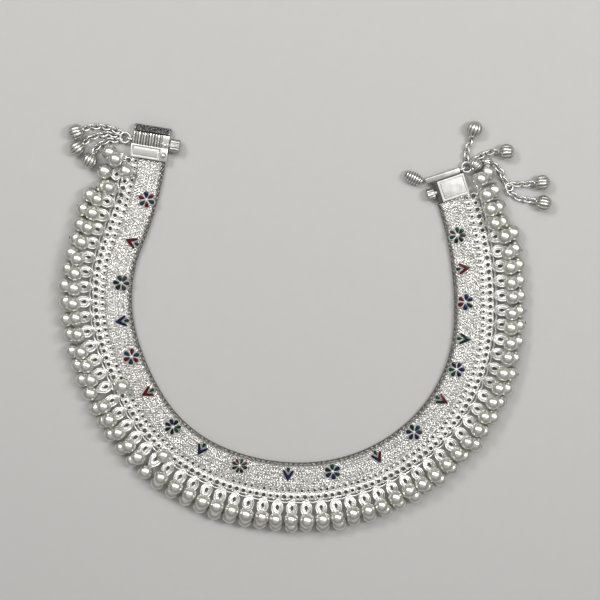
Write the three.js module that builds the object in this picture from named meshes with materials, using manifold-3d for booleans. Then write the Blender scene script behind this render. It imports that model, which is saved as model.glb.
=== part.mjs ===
// A silver payal, an ankle chain, lying open in a C on its flat underside.
// A woven band with a bevelled inner rim carries a pierced net along its outer side. Teardrop loops
// hang from the net's border, with two round bells on each. Enamelled flowers and leaves sit on the
// band, and a screw clasp with short bell tassels closes each end.
// Millimetres, +Z up, origin under the middle of the whole chain on the surface that it lies on.

import * as THREE from 'three';
import { mergeVertices } from 'three/addons/utils/BufferGeometryUtils.js';
import Module from 'manifold-3d';

// Clearances
const SEAT_GAP = 0.3;            // between pieces that sit against each other
const BORE_GAP = 0.3;            // round a screw's neck in its bore

// Woven band
const BAND_LENGTH = 234.5;       // along the inner rim, from clasp to clasp
const BAND_WIDTH = 7.8;
const BAND_THICKNESS = 2.6;
const BEVEL_WIDTH = 1.1;         // sloped inner rim
const BEVEL_HEIGHT = 1.3;
const BAND_STEPS = 42;

// Lay of the inner rim from the left clasp round to the right one, counted as shares of its length
const START_HEADING = -99.3;
const LAY = [
  { share: 0.113, turn: -14 },
  { share: 0.123, turn: 38 },
  { share: 0.089, turn: 16.5 },
  { share: 0.101, turn: 34 },
  { share: 0.125, turn: 29 },
  { share: 0.133, turn: 37 },
  { share: 0.154, turn: 47 },
  { share: 0.162, turn: 20.5 },
];

// Pierced net
const NET_WIDTH = 3.9;
const NET_THICKNESS = 0.9;
const NET_HEIGHT = 1.0;          // of its underside
const NET_GAP_SIZE = 1.6;        // across the corners of a gap
const NET_GAP_PITCH = 3.0;

// Fringe of loops and bells
const BORDER_WIDTH = 0.9;
const BORDER_THICKNESS = 0.9;
const DROP_PITCH = 4.45;
const LOOP_WIDTH = 0.82 * DROP_PITCH;
const LOOP_THICKNESS = 0.7;
const LOOP_BELLY = 0.45;         // share of the loop's length where it is widest
const LOOP_SINK = 0.4;           // how far a loop's tip is soldered into the back bell
const LOOP_TIP_RISE = 0.5;       // of its tip over the back bell's middle
// The bells stay clear of their neighbours where the chain curves inwards and draws them together
const FRONT_BELL_RADIUS = 0.43 * DROP_PITCH;
const BACK_BELL_RADIUS = 0.46 * DROP_PITCH;
const FRONT_BELL_REACH = 4.55;   // from the border to the bell's middle
const BACK_BELL_REACH = 7.2;
const BELL_BITE = 0.12;          // how far the two bells of a drop run into each other
const BELL_NECK = 0.6;           // radius of the solder between them
const BELL_SIDES = 10;
const BELL_RINGS = 4;
const END_SWING = 18;            // degrees that a drop at a free end leans away from the middle
const END_PULL = 2.4;            // how far the drops at a free end are drawn in
const LEFT_END = { reach: -1.5, pulled: 3 };
const RIGHT_END = { reach: 3.0, pulled: 4 };

// Enamelled motifs
const FLOWER_RADIUS = 2.75;
const FLOWER_PETALS = 7;
const FLOWER_WAIST = 0.55;       // share of the radius where two petals part
const LEAF_LENGTH = 4.2;
const LEAF_WIDTH = 3.4;
const LEAF_ARM = 0.9;
const MOTIF_THICKNESS = 0.5;
const MOTIF_FROM_RIM = 3.1;
// Flowers and leaves take turns along the band, at these shares of its length
const MOTIF_PLACES = [
  0.052, 0.112, 0.164, 0.211, 0.257, 0.307, 0.36, 0.405, 0.457, 0.519,
  0.575, 0.634, 0.689, 0.742, 0.784, 0.823, 0.87, 0.913, 0.956,
];

// Left clasp
const LEFT_BOX = { inner: -0.5, outer: 10.5, length: 7.7, height: 3.5 };
const LEFT_PLATE_LENGTH = 3.9;   // the plain half next to the band
const FLUTE_COUNT = 11;
const FLUTE_DEPTH = 0.35;
const FLUTE_START = 2.0;         // from the box's inner end, which stays plain
const BOSS_RADIUS = 0.85;
const BOSS_HEIGHT = 0.4;
const END_SLAB = { length: 1.8, base: 0.5, nose: 2.1, top: 2.9, shoulder: 0.9 };
const LEFT_KNOB = { radius: 2.1, length: 3.0, along: 5.3 };

// Right clasp
const RIGHT_BOX = { inner: 0.3, outer: 9.8, length: 6.4, height: 3.5 };
const RIGHT_BEVEL = 1.4;
const RIGHT_BEVEL_DROP = 1.1;
const RIGHT_KNOB = { radius: 1.85, length: 2.4, along: 3.5 };
const END_BAR = { radius: 0.85, inner: -1.7, outer: 9.2, height: 2.2 };
const BEEHIVE = { length: 5.8, radius: 1.9, neck: 0.65, ribs: 5, ribDepth: 0.4, yaw: 45 };

// Screws
const NECK_RADIUS = 0.8;
const NECK_SEAT = 1.4;           // how far a neck reaches into its box
const KNOB_SIDES = 12;

// Eyes, jump rings and tassels
const EYE_RADIUS = 1.15;
const EYE_WIRE = 0.36;
const EYE_SINK = 0.3;            // how far an eye is soldered into its carrier
const RING_RADIUS = 1.5;
const RING_WIRE = 0.36;
const RING_SIDES = 12;
const LEFT_EYE_ALONG = 5.4;
const EYE_HEIGHT = 1.5;
const CHAIN_RADIUS = 0.8;
const CHAIN_LIFT = 0.15;         // of its underside, which sags a little between its points
const CHAIN_STEPS = 5;
const TASSEL_BELL_RADIUS = 2.35;
const TASSEL_BELL_SINK = 0.5;

const TASSEL_REACH = 20;         // of the longest one, from its jump ring's middle

// Routes of the tassels on the surface, from their jump ring's middle: along the clasp and outwards,
// as shares of the longest one's reach
const LEFT_TASSELS = [
  { from: 52, points: [[0.105, 0.28], [0.08, 0.51]], bell: [-0.03, 0.73] },
  { from: 2, points: [[0.01, 0.28], [-0.085, 0.5]], bell: [-0.265, 0.68] },
  { from: -48, points: [[-0.085, 0.25], [-0.21, 0.395]], bell: [-0.42, 0.47] },
];
const RIGHT_TASSELS = [
  { from: 76, points: [[0.23, 0.075], [0.36, 0.17]], bell: [0.51, 0.28] },
  { from: 22, points: [[0.085, 0.23], [0.095, 0.42]], bell: [0.035, 0.63] },
  {
    from: -34,
    points: [[-0.02, 0.3], [-0.19, 0.45], [-0.42, 0.495], [-0.515, 0.72]],
    bell: [-0.58, 1],
  },
];
// The last tassel leaves the one before it where that one turns away from the fringe
const BRANCH_TASSEL = { start: [-0.545, 0.485], points: [[-0.695, 0.6]], bell: [-0.88, 0.93] };

const wasm = await Module();
wasm.setup();

const silver = new THREE.MeshStandardMaterial({ color: 0xd9d6cf, roughness: 0.3, metalness: 1.0 });
const frosted = new THREE.MeshStandardMaterial({ color: 0xcfcec8, roughness: 0.5, metalness: 1.0 });
const oxidised = new THREE.MeshStandardMaterial({ color: 0x3b3733, roughness: 0.6, metalness: 0.9 });
const enamel = new THREE.MeshStandardMaterial({ color: 0x1c4a55, roughness: 0.2, metalness: 0.1 });

// Places that follow the inner rim

class RimPath {
  constructor(length, headingDegrees, stretches) {
    this.length = length;
    const heading = THREE.MathUtils.degToRad(headingDegrees);
    this.arcs = [];
    let start = { s: 0, x: 0, y: 0, heading };
    for (const { share, turn } of stretches) {
      const arc = { ...start, length: share * length, turn: THREE.MathUtils.degToRad(turn) };
      this.arcs.push(arc);
      const end = this.walk(arc, arc.length);
      start = { s: arc.s + arc.length, x: end.x, y: end.y, heading: end.heading };
    }
  }

  walk(arc, distance) {
    const bend = arc.turn / arc.length;
    const heading = arc.heading + bend * distance;
    return {
      x: arc.x + (Math.sin(heading) - Math.sin(arc.heading)) / bend,
      y: arc.y - (Math.cos(heading) - Math.cos(arc.heading)) / bend,
      heading,
    };
  }

  // A station past an end lies on the straight line that carries on from it
  at(s) {
    const inside = THREE.MathUtils.clamp(s, 0, this.length);
    const arc = this.arcs.findLast((candidate) => candidate.s <= inside);
    const point = this.walk(arc, inside - arc.s);
    const beyond = s - inside;
    point.x += beyond * Math.cos(point.heading);
    point.y += beyond * Math.sin(point.heading);
    return point;
  }

  place(s, out, up) {
    const { x, y, heading } = this.at(s);
    return new THREE.Vector3(x + out * Math.sin(heading), y - out * Math.cos(heading), up);
  }

  lengthAt(out) {
    return this.arcs.reduce((sum, arc) => sum + arc.length + arc.turn * out, 0);
  }

  // The rim station beside a point that lies a given distance along the line at offset out
  stationAt(distance, out) {
    let left = distance;
    for (const arc of this.arcs) {
      const offsetLength = arc.length + arc.turn * out;
      if (left <= offsetLength || arc === this.arcs.at(-1)) {
        const onArc = THREE.MathUtils.clamp(left, 0, offsetLength);
        return arc.s + (onArc / offsetLength) * arc.length + (left - onArc);
      }
      left -= offsetLength;
    }
    return this.length;
  }
}

class RimCurve extends THREE.Curve {
  constructor(path, from, to, out, up) {
    super();
    Object.assign(this, { path, from, to, out, up });
  }

  getPoint(t, target = new THREE.Vector3()) {
    const s = THREE.MathUtils.lerp(this.from, this.to, t);
    return target.copy(this.path.place(s, this.out, this.up));
  }
}

const rim = new RimPath(BAND_LENGTH, START_HEADING, LAY);
const NET_EDGE = BAND_WIDTH + NET_WIDTH;
const BORDER_INNER = NET_EDGE + SEAT_GAP;
const BORDER_MIDDLE = BORDER_INNER + BORDER_WIDTH / 2;

// Helpers

function toSolid(geometry) {
  const bare = geometry.clone();
  bare.deleteAttribute('normal');
  bare.deleteAttribute('uv');
  const merged = mergeVertices(bare, 1e-4);
  return new wasm.Manifold(new wasm.Mesh({
    numProp: 3,
    vertProperties: merged.attributes.position.array,
    triVerts: new Uint32Array(merged.index.array),
  }));
}

function toGeometry(solid) {
  const mesh = solid.getMesh();
  const geometry = new THREE.BufferGeometry();
  geometry.setAttribute('position', new THREE.BufferAttribute(mesh.vertProperties, mesh.numProp));
  geometry.setIndex(new THREE.BufferAttribute(mesh.triVerts, 1));
  return geometry;
}

function join(geometries) {
  return toGeometry(wasm.Manifold.union(geometries.map(toSolid)));
}

function cut(geometry, tools) {
  return toGeometry(toSolid(geometry).subtract(wasm.Manifold.union(tools.map(toSolid))));
}

function shapeOf(points) {
  return new THREE.Shape(points.map(([x, y]) => new THREE.Vector2(x, y)));
}

function prism(points, depth) {
  return new THREE.ExtrudeGeometry(shapeOf(points), { depth, bevelEnabled: false });
}

// A section is given as [outwards, upwards] from the curve
function sweepAlongRim(section, curve, steps) {
  const turned = section.map(([out, up]) => [-up, -out]);
  return new THREE.ExtrudeGeometry(shapeOf(turned), { steps, extrudePath: curve });
}

function rectangle(left, bottom, width, height) {
  return [[left, bottom], [left + width, bottom], [left + width, bottom + height], [left, bottom + height]];
}

function namedMesh(name, geometry, material) {
  const mesh = new THREE.Mesh(geometry, material);
  mesh.name = name;
  return mesh;
}

// Turns a geometry's +X outwards and its +Y along the rim, and moves it to its station
function setOnRim(geometry, s, out, up, swing = 0) {
  const { heading } = rim.at(s);
  const place = rim.place(s, out, up);
  geometry.rotateZ(heading - Math.PI / 2 + THREE.MathUtils.degToRad(swing));
  geometry.translate(place.x, place.y, place.z);
  return geometry;
}

// Woven band and net

function makeBand() {
  const section = [
    [0, 0],
    [BAND_WIDTH, 0],
    [BAND_WIDTH, NET_HEIGHT],
    [NET_EDGE, NET_HEIGHT],
    [NET_EDGE, NET_HEIGHT + NET_THICKNESS],
    [BAND_WIDTH, NET_HEIGHT + NET_THICKNESS],
    [BAND_WIDTH, BAND_THICKNESS],
    [BEVEL_WIDTH, BAND_THICKNESS],
    [0, BAND_THICKNESS - BEVEL_HEIGHT],
  ];
  const whole = sweepAlongRim(section, new RimCurve(rim, 0, rim.length, 0, 0), BAND_STEPS);
  const gapRow = BAND_WIDTH + NET_WIDTH / 2;
  const rowLength = rim.lengthAt(gapRow);
  const gapCount = Math.floor(rowLength / NET_GAP_PITCH);
  const gaps = [];
  for (let i = 0; i < gapCount; i += 1) {
    const s = rim.stationAt((rowLength * (i + 0.5)) / gapCount, gapRow);
    const gap = new THREE.CylinderGeometry(NET_GAP_SIZE / 2, NET_GAP_SIZE / 2, 2 * NET_THICKNESS, 4);
    gap.rotateX(Math.PI / 2);
    gaps.push(setOnRim(gap, s, gapRow, NET_HEIGHT + NET_THICKNESS / 2));
  }
  return namedMesh('mesh_band', cut(whole, gaps), silver);
}

// Fringe

function bell(radius) {
  return new THREE.SphereGeometry(radius, BELL_SIDES, BELL_RINGS).rotateX(Math.PI / 2);
}

// The half of a round bell's profile that faces away from its neighbour, from the pole to the equator
function bellCap(radius) {
  const rings = [];
  for (let i = 0; i <= BELL_RINGS / 2; i += 1) {
    const angle = (Math.PI * i) / BELL_RINGS;
    rings.push([radius * Math.sin(angle), radius * Math.cos(angle)]);
  }
  return rings;
}

// Both bells of a drop, turned as one about the line through their middles, and drawn in to their neck
function bellPair(backReach, frontReach, frontHeight) {
  const reach = frontReach - backReach;
  const rise = frontHeight - BACK_BELL_RADIUS;
  const apart = Math.hypot(reach, rise);
  const profile = [
    ...bellCap(BACK_BELL_RADIUS).map(([x, y]) => [x, -y]),
    [BELL_NECK, BACK_BELL_RADIUS - BELL_BITE / 2],
    ...bellCap(FRONT_BELL_RADIUS).map(([x, y]) => [x, apart + y]).reverse(),
  ];
  const pair = new THREE.LatheGeometry(profile.map(([x, y]) => new THREE.Vector2(x, y)), BELL_SIDES);
  pair.rotateX(Math.PI / 2);
  pair.rotateY(Math.atan2(reach, rise));
  return pair.translate(backReach, 0, BACK_BELL_RADIUS);
}

// The two bells of a drop touch: the front one leans on the back one, which stands on the surface
function dropShape(pull) {
  const backReach = BACK_BELL_REACH - pull;
  const frontReach = FRONT_BELL_REACH - pull;
  const apart = FRONT_BELL_RADIUS + BACK_BELL_RADIUS - BELL_BITE;
  const rise = Math.sqrt(apart ** 2 - (backReach - frontReach) ** 2);
  const frontHeight = BACK_BELL_RADIUS + rise;
  const tipReach = backReach - BACK_BELL_RADIUS + LOOP_SINK;
  const tipHeight = BACK_BELL_RADIUS + LOOP_TIP_RISE;
  return { backReach, frontReach, frontHeight, tipReach, tipHeight };
}

function makeLoop(tipReach, climb) {
  const length = Math.hypot(tipReach, climb);
  const half = LOOP_WIDTH / 2;
  const belly = length * LOOP_BELLY;
  const outline = [[0, 0], [belly, -half], [length, 0], [belly, half]];
  const loop = prism(outline, LOOP_THICKNESS);
  loop.translate(0, 0, -LOOP_THICKNESS / 2);
  return loop.rotateY(-Math.atan2(climb, tipReach));
}

function makeDrop(s, pull, swing) {
  const { backReach, frontReach, frontHeight, tipReach, tipHeight } = dropShape(pull);
  const loopBase = NET_HEIGHT + BORDER_THICKNESS / 2;
  const loop = makeLoop(tipReach, tipHeight - loopBase).translate(0, 0, loopBase);
  const bells = bellPair(backReach, frontReach, frontHeight);
  return [loop, bells].map((piece) => setOnRim(piece, s, BORDER_MIDDLE, 0, swing));
}

function dropStations() {
  const span = rim.lengthAt(BORDER_MIDDLE) + LEFT_END.reach + RIGHT_END.reach;
  const count = Math.round(span / DROP_PITCH) + 1;
  const stations = [];
  for (let i = 0; i < count; i += 1) {
    const distance = (span * i) / (count - 1) - LEFT_END.reach;
    const fromLeft = i;
    const fromRight = count - 1 - i;
    const pulled = fromLeft < LEFT_END.pulled || fromRight < RIGHT_END.pulled;
    let swing = 0;
    if (fromLeft === 0) swing = -END_SWING;
    if (fromRight === 0) swing = END_SWING;
    stations.push({ s: rim.stationAt(distance, BORDER_MIDDLE), pull: pulled ? END_PULL : 0, swing });
  }
  return stations;
}

function makeFringe(name, stations, from, to) {
  const section = rectangle(-BORDER_WIDTH / 2, 0, BORDER_WIDTH, BORDER_THICKNESS);
  const border = sweepAlongRim(
    section,
    new RimCurve(rim, from, to, BORDER_MIDDLE, NET_HEIGHT),
    stations.length,
  );
  const drops = stations.flatMap(({ s, pull, swing }) => makeDrop(s, pull, swing));
  return namedMesh(name, join([border, ...drops]), silver);
}

function makeFringes() {
  const stations = dropStations();
  const half = Math.ceil(stations.length / 2);
  const middle = (stations[half - 1].s + stations[half].s) / 2;
  const left = makeFringe(
    'fringe_left',
    stations.slice(0, half),
    stations[0].s - BORDER_WIDTH,
    middle - SEAT_GAP / 2,
  );
  const right = makeFringe(
    'fringe_right',
    stations.slice(half),
    middle + SEAT_GAP / 2,
    stations.at(-1).s + BORDER_WIDTH,
  );
  return [left, right];
}

// Enamelled motifs

function flowerOutline() {
  const points = [];
  for (let i = 0; i < FLOWER_PETALS; i += 1) {
    const middle = (2 * Math.PI * i) / FLOWER_PETALS;
    const step = Math.PI / FLOWER_PETALS;
    const waist = FLOWER_RADIUS * FLOWER_WAIST;
    points.push([waist * Math.cos(middle - step), waist * Math.sin(middle - step)]);
    points.push([FLOWER_RADIUS * Math.cos(middle), FLOWER_RADIUS * Math.sin(middle)]);
  }
  return points;
}

// A chevron that points outwards, with a leaf between its arms on the rim's side
function leafOutline() {
  const tip = LEAF_LENGTH / 2;
  const half = LEAF_WIDTH / 2;
  return [
    [tip, 0],
    [-tip + LEAF_ARM, half],
    [-tip + LEAF_ARM, half - LEAF_ARM],
    [-tip, 0],
    [-tip + LEAF_ARM, LEAF_ARM - half],
    [-tip + LEAF_ARM, -half],
  ];
}

function makeMotifs() {
  return MOTIF_PLACES.map((share, i) => {
    const isFlower = i % 2 === 0;
    const number = String(Math.floor(i / 2) + 1).padStart(2, '0');
    const outline = isFlower ? flowerOutline() : leafOutline();
    const plate = prism(outline, MOTIF_THICKNESS);
    setOnRim(plate, share * BAND_LENGTH, MOTIF_FROM_RIM, BAND_THICKNESS);
    return namedMesh(`${isFlower ? 'flower' : 'leaf'}_${number}`, plate, enamel);
  });
}

// Clasps. A clasp group's +Y leads away from the band. Its X leads outwards when side is 1, at the
// right clasp, and inwards when side is -1, at the left one.

function claspGroup(side) {
  const s = side < 0 ? 0 : rim.length;
  const { heading } = rim.at(s);
  const group = new THREE.Group();
  group.position.copy(rim.place(s, 0, 0));
  group.rotation.z = heading + (side < 0 ? Math.PI / 2 : -Math.PI / 2);
  return group;
}

// An extrusion along the clasp of a section given as [outwards, upwards]
function boxAlong(section, side, from, length) {
  const block = prism(section.map(([out, up]) => [side * out, up]), length);
  return block.rotateX(Math.PI / 2).translate(0, from + length, 0);
}

// A shaft with its axis across the clasp, from one outward place to another
function shaftAcross(radius, side, from, to, along, up, sides) {
  const shaft = new THREE.CylinderGeometry(radius, radius, Math.abs(to - from), sides);
  return shaft.rotateZ(Math.PI / 2).translate((side * (from + to)) / 2, along, up);
}

function makeEye(side, outer, along) {
  const eye = new THREE.TorusGeometry(EYE_RADIUS, EYE_WIRE, 5, 10);
  eye.rotateX(Math.PI / 2);
  return eye.translate(side * (outer + EYE_RADIUS - EYE_SINK), along, EYE_HEIGHT);
}

// The jump ring hangs in the eye, so its middle lies one ring radius beyond the eye's
function ringMiddle(side, outer, along) {
  return new THREE.Vector3(side * (outer + EYE_RADIUS - EYE_SINK + RING_RADIUS), along, EYE_HEIGHT);
}

function makeRing(name, middle) {
  const ring = new THREE.TorusGeometry(RING_RADIUS, RING_WIRE, 5, RING_SIDES);
  return namedMesh(name, ring.translate(middle.x, middle.y, middle.z), silver);
}

// A knurled head on a neck that turns in the inner wall of its box
function makeKnob(name, side, box, knob) {
  const wall = box.inner - SEAT_GAP;
  const profile = [
    [0, 0],
    [knob.radius, 0],
    [knob.radius, knob.length],
    [NECK_RADIUS, knob.length],
    [NECK_RADIUS, knob.length + SEAT_GAP + NECK_SEAT],
    [0, knob.length + SEAT_GAP + NECK_SEAT],
  ];
  const head = new THREE.LatheGeometry(profile.map(([x, y]) => new THREE.Vector2(x, y)), KNOB_SIDES);
  head.rotateZ(-side * Math.PI / 2);
  head.translate(side * (wall - knob.length), knob.along, knob.radius);
  return namedMesh(name, head, silver);
}

function knobBore(side, box, knob) {
  const radius = NECK_RADIUS + BORE_GAP;
  const from = box.inner - SEAT_GAP;
  const to = box.inner + NECK_SEAT + SEAT_GAP;
  return shaftAcross(radius, side, from, to, knob.along, knob.radius, KNOB_SIDES);
}

// A tassel's chain, drawn as a tube, with its bell soldered to the far end
function makeTassel(name, side, points, bellAt) {
  const lift = (reach, along, up) => new THREE.Vector3(side * reach, along, up);
  const route = points.map(([along, out]) => lift(out, along, CHAIN_RADIUS + CHAIN_LIFT));
  const bellMiddle = lift(bellAt[1], bellAt[0], TASSEL_BELL_RADIUS);
  const inward = route.at(-1).clone().sub(bellMiddle).setZ(0).normalize();
  const shell = TASSEL_BELL_RADIUS - TASSEL_BELL_SINK;
  const entry = bellMiddle.clone().addScaledVector(inward, shell).setZ(TASSEL_BELL_RADIUS * 0.7);
  const curve = new THREE.CatmullRomCurve3([...route, entry]);
  const circle = new THREE.Path().absarc(0, 0, CHAIN_RADIUS, 0, 2 * Math.PI);
  const section = new THREE.Shape(circle.getSpacedPoints(8).slice(0, 8));
  const steps = CHAIN_STEPS * Math.max(1, Math.round(curve.getLength() / 14));
  const chain = new THREE.ExtrudeGeometry(section, { steps, extrudePath: curve });
  const end = bell(TASSEL_BELL_RADIUS).translate(bellMiddle.x, bellMiddle.y, bellMiddle.z);
  return namedMesh(name, join([chain, end]), silver);
}

// A tassel's place from its shares, counted from the jump ring's middle
function tasselPlace(ring, side, [along, out]) {
  return [ring.y + TASSEL_REACH * along, side * ring.x + TASSEL_REACH * out];
}

// A route from a jump ring starts just clear of the ring, at an angle from straight outwards
function routeFromRing(ring, side, tassel) {
  const clear = (RING_RADIUS + RING_WIRE + SEAT_GAP) / TASSEL_REACH;
  const angle = THREE.MathUtils.degToRad(tassel.from);
  const start = [clear * Math.sin(angle), clear * Math.cos(angle)];
  const points = [start, ...tassel.points].map((share) => tasselPlace(ring, side, share));
  return { points, bell: tasselPlace(ring, side, tassel.bell) };
}

function makeTassels(prefix, side, ring, tassels) {
  return tassels.map((tassel, i) => {
    const { points, bell: end } = routeFromRing(ring, side, tassel);
    return makeTassel(`${prefix}_tassel_${i + 1}`, side, points, end);
  });
}

function makeLeftClasp() {
  const side = -1;
  const box = LEFT_BOX;
  const width = box.outer - box.inner;
  const plate = boxAlong(rectangle(box.inner, 0, width, box.height), side, SEAT_GAP, LEFT_PLATE_LENGTH);
  const crest = box.height;
  const barrelTop = [[box.inner, crest]];
  const flute = (width - FLUTE_START) / FLUTE_COUNT;
  for (let i = 0; i < FLUTE_COUNT; i += 1) {
    const left = box.inner + FLUTE_START + flute * i;
    barrelTop.push([left, crest - FLUTE_DEPTH]);
    barrelTop.push([left + flute / 2, crest]);
  }
  const barrelSection = [[box.outer, crest - FLUTE_DEPTH], [box.outer, 0], [box.inner, 0], ...barrelTop];
  const barrelFrom = SEAT_GAP + LEFT_PLATE_LENGTH;
  const barrel = boxAlong(barrelSection, side, barrelFrom, box.length - LEFT_PLATE_LENGTH);
  const bosses = [barrelFrom / 2, LEFT_KNOB.along].map((along) => {
    const boss = new THREE.CylinderGeometry(BOSS_RADIUS, BOSS_RADIUS, 2 * BOSS_HEIGHT, 10);
    boss.rotateX(Math.PI / 2);
    return boss.translate(side * (box.inner + BOSS_RADIUS + SEAT_GAP), along, box.height);
  });
  const eye = makeEye(side, box.outer, LEFT_EYE_ALONG);
  const body = cut(join([plate, barrel, ...bosses, eye]), [knobBore(side, box, LEFT_KNOB)]);

  const slabFrom = box.length + 2 * SEAT_GAP;
  const slab = END_SLAB;
  const profile = [
    [0, slab.base],
    [slab.length, slab.base],
    [slab.length, slab.nose],
    [slab.shoulder, slab.top],
    [0, slab.top],
  ];
  const wedge = prism(profile, width);
  wedge.rotateX(Math.PI / 2);
  wedge.rotateZ(Math.PI / 2);
  wedge.translate(-box.outer, slabFrom, 0);

  const ring = ringMiddle(side, box.outer, LEFT_EYE_ALONG);
  const group = claspGroup(side);
  group.add(
    namedMesh('left_clasp_box', body, silver),
    namedMesh('left_end', wedge, oxidised),
    makeKnob('left_screw', side, box, LEFT_KNOB),
    makeRing('left_ring', ring),
    ...makeTassels('left', side, ring, LEFT_TASSELS),
  );
  return group;
}

function beehiveGeometry() {
  const { length, radius, neck, ribs, ribDepth } = BEEHIVE;
  const profile = [[0, 0], [neck, 0]];
  for (let i = 0; i < ribs; i += 1) {
    const middle = (i + 0.5) / ribs;
    const swell = neck + (radius - neck) * Math.sin(Math.PI * (0.18 + 0.6 * middle));
    profile.push([swell, length * middle]);
    profile.push([Math.max(neck, swell - ribDepth), (length * (i + 0.92)) / ribs]);
  }
  profile.push([0, length]);
  return new THREE.LatheGeometry(profile.map(([x, y]) => new THREE.Vector2(x, y)), 10);
}

function makeRightClasp() {
  const side = 1;
  const box = RIGHT_BOX;
  const section = [
    [box.inner, 0],
    [box.outer, 0],
    [box.outer, box.height],
    [box.inner + RIGHT_BEVEL, box.height],
    [box.inner, box.height - RIGHT_BEVEL_DROP],
  ];
  const block = boxAlong(section, side, SEAT_GAP, box.length);
  const body = cut(block, [knobBore(side, box, RIGHT_KNOB)]);

  const barAlong = box.length + 2 * SEAT_GAP + END_BAR.radius;
  const shaft = shaftAcross(END_BAR.radius, side, END_BAR.inner, END_BAR.outer, barAlong, END_BAR.height, 12);
  const eye = makeEye(side, END_BAR.outer, barAlong);

  // The screw hangs askew, so its neck stands clear of the bar by what its own edge needs
  const yaw = THREE.MathUtils.degToRad(BEEHIVE.yaw);
  const clear = SEAT_GAP + BEEHIVE.neck * Math.sin(yaw);
  const hive = beehiveGeometry();
  hive.rotateZ(Math.PI / 2 - yaw);
  hive.translate(END_BAR.inner - clear, barAlong, BEEHIVE.radius);

  const ring = ringMiddle(side, END_BAR.outer, barAlong);
  const branchPoints = [BRANCH_TASSEL.start, ...BRANCH_TASSEL.points];
  const branch = branchPoints.map((share) => tasselPlace(ring, side, share));
  const branchBell = tasselPlace(ring, side, BRANCH_TASSEL.bell);
  const group = claspGroup(side);
  group.add(
    namedMesh('right_clasp_box', body, frosted),
    namedMesh('right_end_bar', join([shaft, eye]), silver),
    makeKnob('right_screw', side, box, RIGHT_KNOB),
    namedMesh('corner_screw', hive, silver),
    makeRing('right_ring', ring),
    ...makeTassels('right', side, ring, RIGHT_TASSELS),
    makeTassel('right_tassel_4', side, branch, branchBell),
  );
  return group;
}

const payal = new THREE.Group();
payal.add(makeBand(), ...makeFringes(), ...makeMotifs(), makeLeftClasp(), makeRightClasp());

// The origin goes under the middle of the whole chain, on the surface that it lies on
payal.updateMatrixWorld(true);
const bounds = new THREE.Box3().setFromObject(payal, true);
const middle = bounds.getCenter(new THREE.Vector3());
payal.position.set(-middle.x, -middle.y, -bounds.min.z);

export default payal;
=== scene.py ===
"""The finished look of a silver payal: woven band, net, bell fringe, enamel and screw clasps."""

import math
import random

import bmesh
import bpy
import numpy as np
from bpy.props import FloatProperty, FloatVectorProperty, IntProperty, PointerProperty
from mathutils import Euler, Matrix, Vector


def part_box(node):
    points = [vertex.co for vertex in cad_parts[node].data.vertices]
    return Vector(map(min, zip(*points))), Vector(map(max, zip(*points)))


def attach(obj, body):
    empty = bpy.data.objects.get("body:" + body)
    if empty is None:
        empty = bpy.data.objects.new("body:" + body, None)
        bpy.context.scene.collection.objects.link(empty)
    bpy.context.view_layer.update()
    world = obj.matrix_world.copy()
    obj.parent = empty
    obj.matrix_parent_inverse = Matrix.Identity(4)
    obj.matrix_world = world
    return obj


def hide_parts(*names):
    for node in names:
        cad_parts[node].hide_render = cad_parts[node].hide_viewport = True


bl_info = {
    "name": "Payal Anklet",
    "version": (1, 0, 0),
    "blender": (4, 5, 0),
    "location": "View3D > Sidebar > Payal",
    "description": "Models the woven band, net, bell fringe, enamel, clasps and tassels of a payal",
    "category": "Add Mesh",
}

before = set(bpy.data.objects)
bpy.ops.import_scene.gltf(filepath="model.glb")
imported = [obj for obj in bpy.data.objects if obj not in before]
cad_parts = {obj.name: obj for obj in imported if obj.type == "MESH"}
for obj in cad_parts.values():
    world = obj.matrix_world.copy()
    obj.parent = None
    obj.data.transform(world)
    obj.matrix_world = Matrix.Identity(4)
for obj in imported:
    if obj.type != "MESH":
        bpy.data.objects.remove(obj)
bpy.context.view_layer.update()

MM = 0.001
UP = Vector((0, 0, 1))

# The inner rim's lay, as the solids have it: each arc's share of its length and its turn in degrees
BAND_LENGTH = 234.5 * MM
NET_EDGE = 11.7 * MM
BAND_STEPS = 42
START_HEADING = math.radians(-99.3)
LAY = (
    (0.113, -14),
    (0.123, 38),
    (0.089, 16.5),
    (0.101, 34),
    (0.125, 29),
    (0.133, 37),
    (0.154, 47),
    (0.162, 20.5),
)

# Fringe, as the solids have it
DROP_PITCH = 4.45 * MM
BORDER_MIDDLE = 12.45 * MM
FRONT_REACH = 4.55 * MM
BACK_REACH = 7.2 * MM
END_PULL = 2.4 * MM
END_SWING = 18
LEFT_END = (-1.5 * MM, 3)
RIGHT_END = (3.0 * MM, 4)

# Upper bells that lie tossed back on the net: a drop's number, then how far the bell lies from
# the rim, and along it from its drop
TOSSED_BELLS = {
    1: (10.8 * MM, -1.9 * MM),
    16: (9.0 * MM, 1.4 * MM),
    22: (11.45 * MM, 0.7 * MM),
}
NET_TOP = 1.8 * MM
LOOP_HEIGHT = 1.5 * MM
LOOP_LENGTH = 5.4  # millimetres, before a loop is stretched to its bell

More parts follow.
